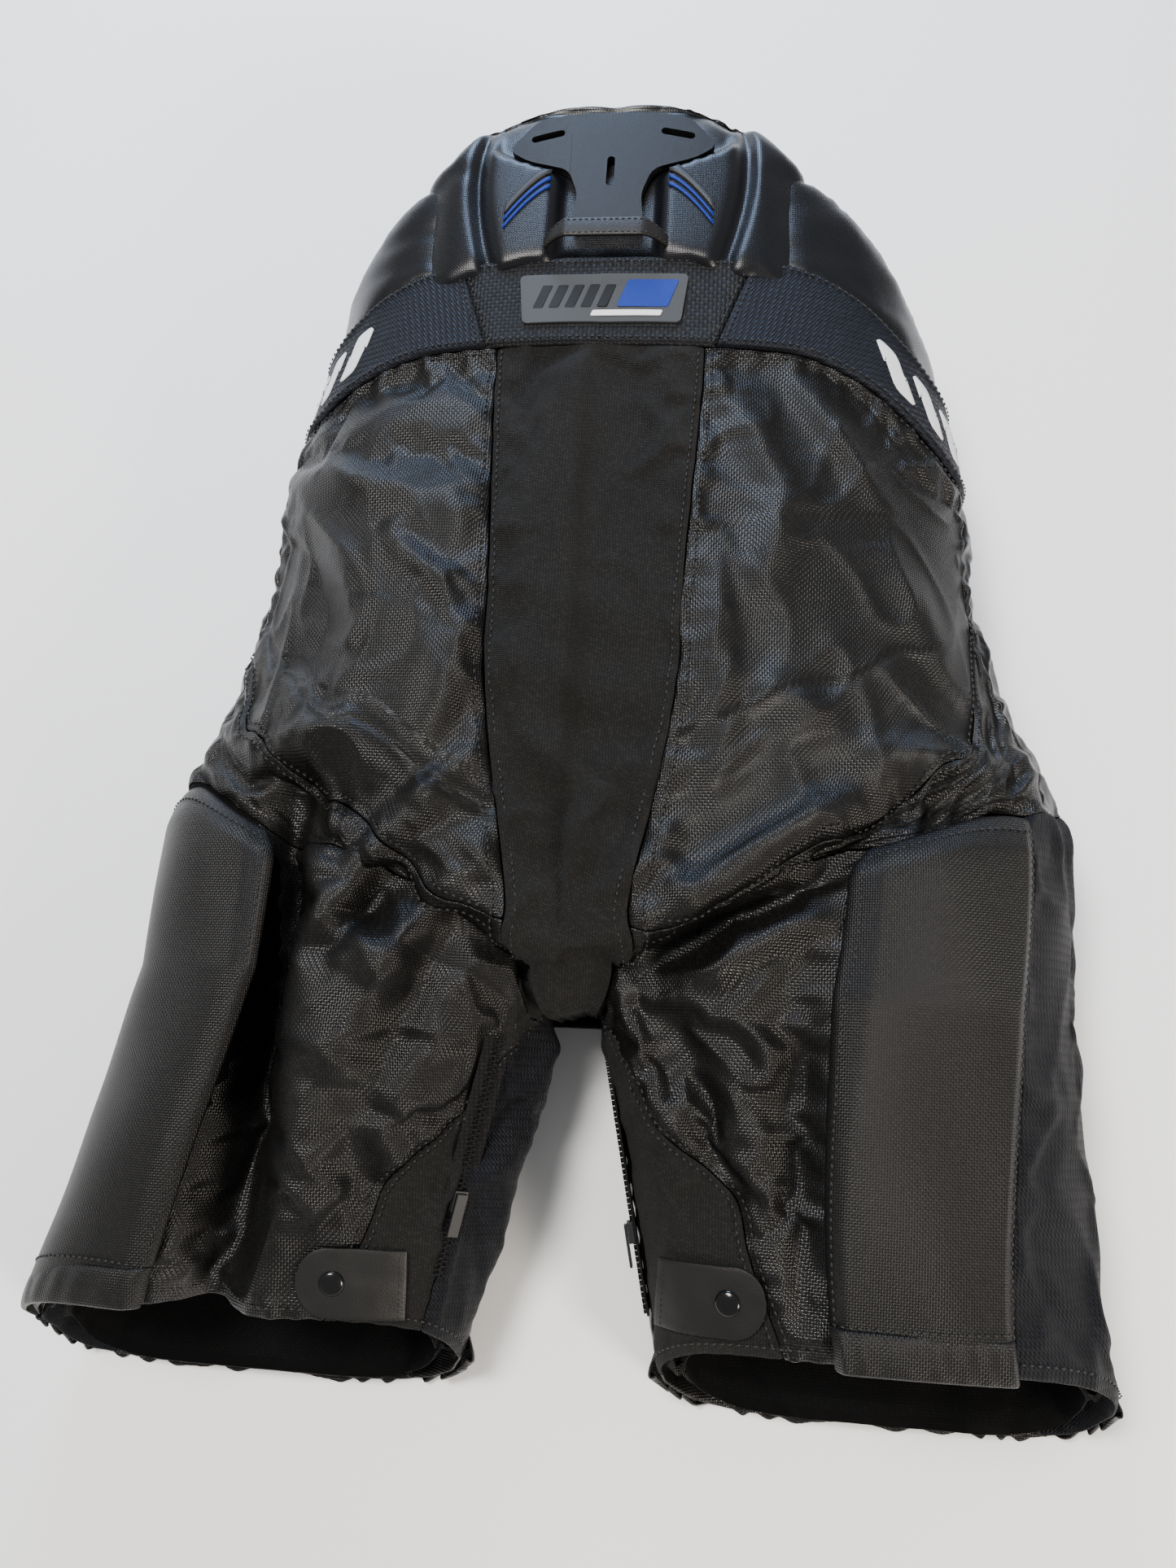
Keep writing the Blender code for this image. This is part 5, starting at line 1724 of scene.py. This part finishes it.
@dataclass
class Label:
    """The rubber label on the belt: a slanted lozenge with plain raised bars."""

    width: float = 0.094
    height: float = 0.03
    thick: float = 0.0016
    lean: float = 0.35
    bars: int = 5
    first_bar: float = -0.036
    bar_pitch: float = 0.0088
    bar_width: float = 0.0056
    belt: Belt = field(default_factory=Belt)

    def on_belt(self, x: float, y: float, lift: float) -> Vector:
        """A point over the belt at a place measured from the label's middle."""
        middle = (FORM.belt_low_y + FORM.belt_top_y) / 2
        side = side_of(x)
        along = (middle + y - FORM.belt_low_y) / (FORM.belt_top_y - FORM.belt_low_y)
        return self.belt.band(side, waist_turn(side, x), along) + Vector((0.0, 0.0, lift))

    def plaque(
        self, name: str, outline: Sequence[tuple[float, float]], finish: str, lift: float, thick: float,
        corner: float,
    ) -> Piece:
        """A rounded flat shape laid on the belt.

        Args:
            name: the piece's name.
            outline: its corners, from the label's middle.
            finish: the name of its finish.
            lift: height of its underside over the belt.
            thick: its thickness.
            corner: radius of its corners.

        Returns:
            The piece on the trunk.
        """
        bm = bmesh.new()
        verts = [bm.verts.new((x, y, 0.0)) for x, y in outline]
        bmesh.ops.contextual_create(bm, geom=verts)
        bevel(bm, verts, corner, 4, "VERTICES")
        for x in steps(-self.width / 2, self.width / 2, 16)[1:-1]:
            parts = bm.verts[:] + bm.edges[:] + bm.faces[:]
            bmesh.ops.bisect_plane(bm, geom=parts, dist=1e-6, plane_co=(x, 0, 0), plane_no=(1, 0, 0))
        made = bmesh.ops.extrude_face_region(bm, geom=bm.faces[:])
        raised = {part for part in made["geom"] if isinstance(part, bmesh.types.BMVert)}
        for vert in bm.verts:
            vert.co = self.on_belt(vert.co.x, vert.co.y, lift + (thick if vert in raised else 0.0))
        point_out(bm)
        obj = put(name, bm, finish, smooth=False)
        round_edges(obj, 0.0003, 0.7)
        return join_on(obj, "label_rubber")

    def slanted(self, left: float, right: float, low: float, high: float) -> list[tuple[float, float]]:
        """Corners of a block that leans to the right."""
        corners = ((left, low), (right, low), (right, high), (left, high))
        return [(x + self.lean * y, y) for x, y in corners]

    def build(self) -> list[Piece]:
        """The label's pieces."""
        half, tall = self.width / 2, self.height / 2
        body = [(-half + 0.004, -tall), (half - 0.004, -tall), (half, tall), (-half, tall)]
        made = [self.plaque("label_patch", body, "label_rubber", 0.0, self.thick, 0.003)]
        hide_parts("label_patch")
        starts = [self.first_bar + self.bar_pitch * k for k in range(self.bars)]
        bars = [(start, start + self.bar_width, -0.006, 0.008) for start in starts]
        parts = [(f"label_bar_{k}", bar, "label_dark", 0.0005, 0.0008) for k, bar in enumerate(bars)]
        parts.append(("label_blue_block", (0.01, 0.038, -0.006, 0.011), "print_blue", 0.0004, 0.0015))
        parts.append(("label_white_bar", (-0.002, 0.036, -0.0115, -0.008), "print_white", 0.0004, 0.0008))
        for name, block, finish, thick, corner in parts:
            made.append(self.plaque(name, self.slanted(*block), finish, self.thick, thick, corner))
        return made


@dataclass
class SpinePad:
    """The tall pad over the spine: glossy cover with moulded channels and the seat of the T-shaped plate."""

    half_width: float = 0.116
    top_drop: float = 0.052
    rise: float = 0.119
    thick: float = 0.023
    channel_x: float = 0.068
    prints: tuple[tuple[str, float, float], ...] = (
        ("print_blue", 0.000, 0.0022),
        ("print_blue", 0.0052, 0.002),
        ("print_grey", -0.0068, 0.006),
    )
    channel_width: float = 0.0042
    channel_depth: float = 0.007
    seat_depth: float = 0.0078

    def top(self, x: float) -> float:
        """Length of the pad at a distance from the middle."""
        return self.rise - self.top_drop * min(abs(x) / self.half_width, 1.0) ** 3.2

    def height(self, x: float, y: float) -> float:
        """The pad's outer face at a place."""
        side = side_of(x)
        return waist_point(side, waist_turn(side, x), y).z

    def place(self, across: float, along: float, layer: float) -> Vector:
        """A point of the pad before it is puffed."""
        x = (2 * across - 1.0) * (self.half_width - 0.002)
        y = FORM.belt_top_y - 0.012 + (self.top(x) + 0.008) * along
        edge = min((1.0 - abs(2 * across - 1.0)) * 6.0, (1.0 - along) * 7.0, 1.0)
        full = math.sqrt(max(1.0 - (1.0 - edge) ** 2, 0.0))
        top = self.height(x, y) + 0.0015 - 0.007 * (1.0 - full)
        return Vector((x, y, top - layer * self.thick * (0.4 + 0.6 * full)))

    def sculpt(self, obj: Piece) -> None:
        """Presses the moulded channels and the plate's seat into the puffed pad."""
        base_y = FORM.belt_top_y
        for vert in obj.data.vertices:
            x, y, _ = vert.co
            if vert.normal.z < 0.1:
                continue
            bow = self.channel_x + 0.01 * math.sin(math.pi * (y - base_y) / self.rise)
            channel = math.exp(-(((abs(x) - bow) / self.channel_width) ** 2)) * self.channel_depth
            share = (y - base_y) / self.rise
            seat_half = 0.027 + 0.04 * smooth_mix(0.0, 1.0, (share - 0.44) / 0.22)
            seat = smooth_mix(1.0, 0.0, (abs(x) - seat_half) / 0.006)
            seat *= smooth_mix(1.0, 0.0, (share - 0.9) / 0.05)
            facing = smooth_mix(0.0, 1.0, (vert.normal.z - 0.1) / 0.5)
            vert.co.z -= (channel + self.seat_depth * seat) * facing

    def cover(self) -> Piece:
        """The padded cover."""
        puff = {"pressure": 4.0, "cap": 0.0055, "voxel": 0.0036}
        obj = pad_form("spine_pad_cover", "satin_nylon", (56, 30), self.place, **puff)
        self.sculpt(obj)
        return join_on(obj, "satin_nylon", nodes=("spine_pad_cover", "spine_pad_foam"))

    def stripes(self) -> list[Piece]:
        """The printed stripes beside the plate's stem: two blue and one grey on each side."""
        made = []
        for side in Side:
            for k, (finish, shift, width) in enumerate(self.prints):
                bm = bmesh.new()
                bmesh.ops.create_grid(bm, x_segments=10, y_segments=2, size=1.0)
                for vert in bm.verts:
                    run, over = (vert.co.x + 1) / 2, vert.co.y / 2
                    x = 0.034 + 0.026 * run
                    y = FORM.belt_top_y + 0.05 - 0.026 * run**1.4 - shift + over * width
                    vert.co = (side.sign * x, y, self.height(x * side.sign, y) + 0.02)
                self.settle(bm)
                obj = put(f"pad_stripe_{side.value}_{k}", bm, finish)
                face_out(obj, Vector((0.0, 0.0, 0.0)))
                add_modifier(obj, "SOLIDIFY", thickness=0.0012, offset=0.0)
                made.append(join_on(obj, "label_rubber"))
        return made

    def settle(self, bm: Shape) -> None:
        """Drops a thin print onto the pad's face."""
        pad = bmesh.new()
        pad.from_mesh(bpy.data.objects["spine_pad_cover_soft"].data)
        face = BVHTree.FromBMesh(pad)
        pad.free()
        for vert in bm.verts:
            place, _, _, _ = face.ray_cast(vert.co, Vector((0.0, 0.0, -1.0)))
            if place:
                vert.co = place + Vector((0.0, 0.0, 0.0004))

    def build(self) -> list[Piece]:
        """The pad's pieces."""
        made = [self.cover()]
        bpy.context.view_layer.update()
        return made + self.stripes()


@dataclass
class KidneyPad:
    """The satin wing above the belt on one side."""

    side: Side
    low_turn: float = -15.0
    low: float = 0.1
    high: float = 0.66
    reach: float = 0.105

    def place(self, across: float, along: float, layer: float) -> Vector:
        """A point of the wing before it is puffed."""
        first = waist_turn(self.side, 0.098)
        turn = first + (self.low_turn - first) * across
        share = (turn - self.low_turn) / (first - self.low_turn)
        climb = math.sin(max(share, 0.0) * math.pi / 2) ** 0.85
        top = (self.low + (self.high - self.low) * climb) * self.reach
        y = FORM.belt_top_y - 0.006 + (top + 0.002) * along - FORM.sag(self.side, turn)
        edge = min((1.0 - across) * 7.0, (1.0 - along) * 4.0, 1.0)
        crown = 0.0065 if layer else -0.3 * 0.0035
        deep = 0.0025 + crown * math.sqrt(max(edge, 0.0))
        return waist_point(self.side, turn, y, -deep - 0.0035 * layer)

    def build(self) -> Piece:
        """The wing on the trunk."""
        name = f"kidney_pad_{self.side.value}"
        obj = pad_form(name, "satin_nylon", (60, 24), self.place, pressure=4.0, cap=0.004, voxel=0.003)
        for vert in obj.data.vertices:
            wave = noise.noise(Vector((vert.co.x * 30.0, vert.co.y * 60.0, vert.co.z * 30.0)))
            vert.co += vert.normal * 0.0014 * wave
        return join_on(obj, "satin_nylon", nodes=(name,))


@dataclass
class GrabLoop:
    """The strap handle at the middle of the waist, stitched along both edges."""

    span: float = 0.082
    top_span: float = 0.05
    width: float = 0.0115
    thick: float = 0.002

    def build(self) -> list[Piece]:
        """The strap and its stitches."""
        y = FORM.belt_top_y + 0.0074
        low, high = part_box("grab_loop")
        base = low.z
        route = []
        for share in steps(-1.0, 1.0, 40):
            x = share * self.span / 2
            flat = min(max((abs(x) - self.top_span / 2 + 0.004) / 0.018, 0.0), 1.0)
            route.append((x, (high.z - base) * (1.0 - flat**1.6), 1.0 - 0.45 * flat))

        def place(across: float, along: float) -> Vector:
            """A point of the strap along its bent route."""
            index = min(int(round(across * (len(route) - 1))), len(route) - 1)
            x, up, wide = route[index]
            bulge = 0.0004 * math.cos((along - 0.5) * math.pi)
            return Vector((x, y + (along - 0.5) * self.width * wide, base + up + bulge))

        strap = grid("grab_loop", "synthetic_leather", (len(route) - 1, 6), place, self.thick)
        face_out(strap, Vector((0.0, 0.0, 0.1)))
        round_edges(strap, 0.0005, 0.9)
        join_on(strap, "synthetic_leather", "grab_loop", ("grab_loop",))
        line = StitchLine("grab_loop_stitches", pitch=0.0034, length=0.0022, radius=0.0003)
        for edge in (0.14, 0.86):
            spots = [place(a, edge) for a in steps(0.04, 0.96, 120)]
            line.sew(spots, [UP] * len(spots))
        return [strap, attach(line.finish_piece(), "grab_loop")]


@dataclass
class SnapTab:
    """The leather tab over the foot of one zip, with its domed snap."""

    side: Side
    length: float = 0.053
    width: float = 0.034
    thick: float = 0.0016
    lift: float = 0.0012
    cap_radius: float = 0.0064
    cap_profile: tuple[tuple[float, float], ...] = (
        (0.0, 0.0017), (0.45, 0.00155), (0.8, 0.001), (0.96, 0.0004), (1.0, -0.0002), (0.9, -0.0008),
    )

    @property
    def sewn_x(self) -> float:
        """Where the tab is sewn down."""
        return 0.076 if self.side is Side.LEFT else 0.053

    @property
    def middle_y(self) -> float:
        """Where the tab lies along the leg."""
        return -0.212 if self.side is Side.LEFT else -0.207

    def place(self, across: float, along: float) -> Vector:
        """A point of the tab's outer face, rounded at its free end."""
        half = self.width / 2
        run = across * self.length
        rest = max(run - (self.length - half * 0.9), 0.0) / (half * 0.9)
        reach = half * math.sqrt(max(1.0 - rest * rest, 0.0)) if rest else half
        y = self.middle_y + (2 * along - 1) * max(reach, 0.002)
        inner, outer, _ = FORM.leg_reach(self.side, y)
        offset = self.sewn_x + run - (inner + outer) / 2
        turn = FORM.turn_at(abs(offset), (outer - inner) / 2)
        u = (180.0 - turn) / 360.0 if offset > 0 else turn / 360.0
        low = draped(self.side, u, y)
        return low + FORM.normal(self.side, u, y) * (self.lift + self.thick + 0.0006 * math.sin(across * 5.0))

    def build(self) -> list[Piece]:
        """The tab, its stitches and its snap."""
        name = f"snap_tab_{self.side.value}"
        tab = grid(name, "synthetic_leather", (36, 16), self.place, self.thick)
        face_out(tab, Vector((self.side.sign * 0.16, 0.0, 0.04)))
        round_edges(tab, 0.0004, 0.9)
        join_on(tab, "synthetic_leather", name, (name,))
        line = StitchLine(f"tab_stitches_{self.side.value}", pitch=0.0032, length=0.0021, radius=0.0003)
        spots = [self.place(0.06, b) for b in steps(0.05, 0.95, 40)]
        line.sew(spots, [UP] * len(spots))
        return [tab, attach(line.finish_piece(), name), self.cap()]

    def cap(self) -> Piece:
        """The snap's domed cap, spun from its profile."""
        node = f"snap_cap_{self.side.value}"
        at = self.place(0.66, 0.5)
        wide = self.place(0.68, 0.6) - self.place(0.68, 0.4)
        long = self.place(0.72, 0.5) - self.place(0.64, 0.5)
        normal = wide.cross(long).normalized()
        normal = normal if normal.z > 0 else -normal
        bm = bmesh.new()
        verts = [bm.verts.new((self.cap_radius * share, 0.0, up)) for share, up in self.cap_profile]
        edges = [bm.edges.new(pair) for pair in zip(verts, verts[1:])]
        spin_round(bm, verts + edges, 32)
        bmesh.ops.remove_doubles(bm, verts=bm.verts[:], dist=1e-6)
        bmesh.ops.holes_fill(bm, edges=bm.edges[:], sides=64)
        bmesh.ops.recalc_face_normals(bm, faces=bm.faces[:])
        turn = normal.to_track_quat("Z", "Y").to_matrix().to_4x4()
        middle = at + normal * 0.0004
        bmesh.ops.transform(bm, verts=bm.verts[:], matrix=Matrix.Translation(middle) @ turn)
        obj = put(f"snap_dome_{self.side.value}", bm, "cap_enamel")
        return join_on(obj, "hard_plastic", f"snap_tab_{self.side.value}", (node,))


@dataclass
class Zip:
    """The inner zip of one leg: woven tape and two rows of teeth."""

    side: Side
    teeth: int = 92
    tape_width: float = 0.016

    def axes(self) -> tuple[Vector, Vector, Vector, Vector]:
        """Start, run, across and outward directions of the zip, from the leg's form."""
        u = 0.1 if self.side is Side.LEFT else 2.0 / 360.0
        turn = 180.0 - 360.0 * u
        low_y, top_y = FORM.hem_y(u), FORM.crotch_y
        start = FORM.leg(self.side, turn, low_y + 0.16 * (top_y - low_y))
        end = FORM.leg(self.side, turn, low_y + 0.86 * (top_y - low_y))
        run = end - start
        level = FORM.leg(self.side, turn + 1.0, start.y) - FORM.leg(self.side, turn - 1.0, start.y)
        out = run.cross(level).normalized()
        if out.dot(FORM.leg(self.side, turn, start.y) - FORM.leg(self.side, turn, start.y, 0.01)) < 0:
            out = -out
        return start, run, out.cross(run).normalized(), out

    def build(self) -> Piece:
        """The tape with its teeth, as one piece on the leg."""
        start, run, across, out = self.axes()
        bm = bmesh.new()
        turn = Matrix((run.normalized(), across, out)).transposed().to_4x4()
        middle = start + run / 2 - out * 0.0004
        size = Matrix.Diagonal((run.length, self.tape_width, 0.0012, 1.0))
        made = bmesh.ops.create_cube(bm, size=1.0, matrix=Matrix.Translation(middle) @ turn @ size)
        edges = list({edge for vert in made["verts"] for edge in vert.link_edges})
        bevel(bm, edges, 0.0003)
        for k in range(self.teeth):
            way = 1.0 if k % 2 else -1.0
            at = start + run * ((k + 0.5) / self.teeth) + across * way * 0.0008 + out * 0.001
            shape = Matrix.Diagonal((0.0011, 0.003, 0.0018, 1.0))
            bmesh.ops.create_cube(bm, size=1.0, matrix=Matrix.Translation(at) @ turn @ shape)
        obj = put(f"zip_chain_{self.side.value}", bm, "webbing_weave", smooth=False)
        return join_on(obj, "webbing", self.side.leg, (f"zip_chain_{self.side.value}",))


class FrontClosure:
    """Fly tongue, eyelet strips and webbing on the face that lies on the floor."""

    def slab(self, name: str, node: str, finish: str, slot: str) -> Piece:
        """A soft flat strip with rounded edges in the place of a node."""
        low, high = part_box(node)
        bm = bmesh.new()
        bmesh.ops.create_cube(bm, size=1.0)
        bmesh.ops.scale(bm, verts=bm.verts[:], vec=high - low)
        bmesh.ops.translate(bm, verts=bm.verts[:], vec=(low + high) / 2)
        bmesh.ops.subdivide_edges(bm, edges=bm.edges[:], cuts=6, use_grid_fill=True)
        edges = [edge for edge in bm.edges if edge.calc_face_angle(0.0) > 1.0]
        round_off = 0.3 * (high.z - low.z)
        bevel(bm, edges, round_off)
        obj = put(name, bm, finish)
        return join_on(obj, slot, nodes=(node,))

    def eyelets(self) -> Piece:
        """Metal rings in the eyelet strips."""
        bm = bmesh.new()
        pitch = (FORM.belt_low_y - 0.1404) / 5
        for side in Side:
            for k in range(5):
                ring = bmesh.new()
                verts = [
                    ring.verts.new((0.0034 + 0.0009 * math.cos(a), 0.0, 0.0009 * math.sin(a)))
                    for a in (math.tau * step / 8 for step in range(8))
                ]
                edges = [ring.edges.new((verts[s], verts[(s + 1) % 8])) for s in range(8)]
                spin_round(ring, verts + edges, 20)
                bmesh.ops.recalc_face_normals(ring, faces=ring.faces[:])
                at = Vector((side.sign * 0.0168, 0.1404 + pitch * (k + 0.5), 0.0011))
                bmesh.ops.translate(ring, verts=ring.verts[:], vec=at)
                merge_into(bm, ring)
        obj = put("eyelet_rings", bm, "zinc_metal")
        return join_on(obj, "metal")

    def build(self) -> list[Piece]:
        """The closure's pieces."""
        made = [self.slab("fly_tongue", "fly_tongue", "ballistic_weave", "ballistic_nylon"), self.eyelets()]
        for side in Side:
            name = f"eyelet_strip_{side.value}"
            made.append(self.slab(name, name, "synthetic_leather", "synthetic_leather"))
            name = f"waist_webbing_{side.value}"
            made.append(self.slab(name, name, "webbing_weave", "webbing"))
        return made


def dress_hard_parts() -> None:
    """Gives the moulded and metal CAD parts that stay their finish and softened edges."""
    finishes = {
        "spine_plate": "moulded_plastic",
        "buckle_clip": "moulded_plastic",
        "buckle_frame": "moulded_plastic",
        "snap_post": "zinc_metal",
        "zip_pull": "black_metal",
        "zip_slider": "black_metal",
    }
    for name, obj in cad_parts.items():
        stem = name.removesuffix("_left").removesuffix("_right")
        if stem not in finishes:
            continue
        for slot in obj.material_slots:
            slot.material = material(finishes[stem])
        if not obj.material_slots:
            obj.data.materials.append(material(finishes[stem]))
        width = 0.0012 if stem == "spine_plate" else 0.0003
        add_modifier(obj, "WELD", merge_threshold=1e-5)
        round_edges(obj, width, 0.6, segments=3)


@dataclass(frozen=True)
class Studio:
    """Floor, lights and camera."""

    azimuth: float = 23.5
    elevation: float = 74.5
    roll: float = -20.7
    distance: float = 0.674
    target: tuple[float, float, float] = (0.0, 0.058, 0.08)
    lit_point: tuple[float, float, float] = (0.0, 0.05, 0.08)
    lens_share: float = 1450.0 / 1927.0

    def camera(self) -> None:
        """The camera, over the back of the pants from the leg end."""
        data = bpy.data.cameras.new("camera")
        data.sensor_width = 36.0
        data.lens = self.lens_share * data.sensor_width
        data.clip_start, data.clip_end = 0.01, 20.0
        azimuth, elevation, roll = map(math.radians, (self.azimuth, self.elevation, self.roll))
        flat = math.cos(elevation)
        back = Vector((math.sin(azimuth) * flat, -math.cos(azimuth) * flat, math.sin(elevation)))
        right = Vector((math.cos(azimuth), math.sin(azimuth), 0.0))
        up = back.cross(right)
        turned_right = right * math.cos(roll) + up * math.sin(roll)
        turned_up = up * math.cos(roll) - right * math.sin(roll)
        obj = bpy.data.objects.new("camera", data)
        basis = Matrix((turned_right, turned_up, back)).transposed().to_4x4()
        obj.matrix_world = Matrix.Translation(Vector(self.target) + back * self.distance) @ basis
        bpy.context.scene.collection.objects.link(obj)
        bpy.context.scene.camera = obj

    def floor(self) -> None:
        """A plain pale floor."""
        bm = bmesh.new()
        bmesh.ops.create_grid(bm, x_segments=2, y_segments=2, size=6.0)
        bmesh.ops.translate(bm, verts=bm.verts[:], vec=(0.0, 0.0, -0.0006))
        mesh = bpy.data.meshes.new("floor")
        bm.to_mesh(mesh)
        bm.free()
        pale = bpy.data.materials.new("pale_floor")
        pale.use_nodes = True
        shader = pale.node_tree.nodes["Principled BSDF"]
        shader.inputs["Base Color"].default_value = (0.96, 0.96, 0.96, 1.0)
        shader.inputs["Roughness"].default_value = 0.9
        mesh.materials.append(pale)
        obj = bpy.data.objects.new("floor", mesh)
        bpy.context.scene.collection.objects.link(obj)

    def lamp(
        self, name: str, at: tuple[float, float, float], size: float, power_w: float,
        color: tuple[float, float, float],
    ) -> None:
        """A soft square light that looks at the pants.

        Args:
            name: its name.
            at: where it stands.
            size: its side.
            power_w: its power in watts.
            color: its colour.
        """
        data = bpy.data.lights.new(name, "AREA")
        data.size = size
        data.energy = power_w
        data.color = color
        obj = bpy.data.objects.new(name, data)
        obj.location = at
        obj.rotation_mode = "QUATERNION"
        obj.rotation_quaternion = (Vector(at) - Vector(self.lit_point)).to_track_quat("Z", "Y")
        bpy.context.scene.collection.objects.link(obj)

    def build(self) -> None:
        """Everything of the studio."""
        self.floor()
        self.camera()
        self.lamp("overhead", (-0.5, 0.5, 2.0), 0.6, 60.0, (1.0, 0.97, 0.93))
        self.lamp("warm_side", (1.3, -0.9, 1.0), 0.45, 30.0, (1.0, 0.9, 0.78))
        self.lamp("cool_waist", (-0.2, 1.6, 0.75), 0.6, 24.0, (0.5, 0.68, 1.0))
        world = bpy.context.scene.world or bpy.data.worlds.new("world")
        bpy.context.scene.world = world
        world.use_nodes = True
        background = world.node_tree.nodes["Background"]
        background.inputs["Color"].default_value = (1.0, 1.0, 1.0, 1.0)
        background.inputs["Strength"].default_value = 0.45


def main() -> None:
    """Builds every sub-assembly in order."""
    logging.basicConfig(level=logging.INFO, format="%(message)s")
    Studio().build()
    for toile in TOILES.values():
        toile.simulate()
        LOG.info("cloth of the %s side settled", toile.side.value)
    made = Shell().build() + InnerLayers().build() + Belt().build() + Label().build() + SpinePad().build()
    made += GrabLoop().build() + FrontClosure().build()
    for side in Side:
        made += ThighGuard(side).build() + SnapTab(side).build()
        made += [GatheredHem(side).build(), KidneyPad(side).build(), Zip(side).build()]
    dress_hard_parts()
    for obj in made:
        LOG.info("%s: %d faces", obj.name, len(obj.data.polygons))


if __name__ == "__main__":
    main()
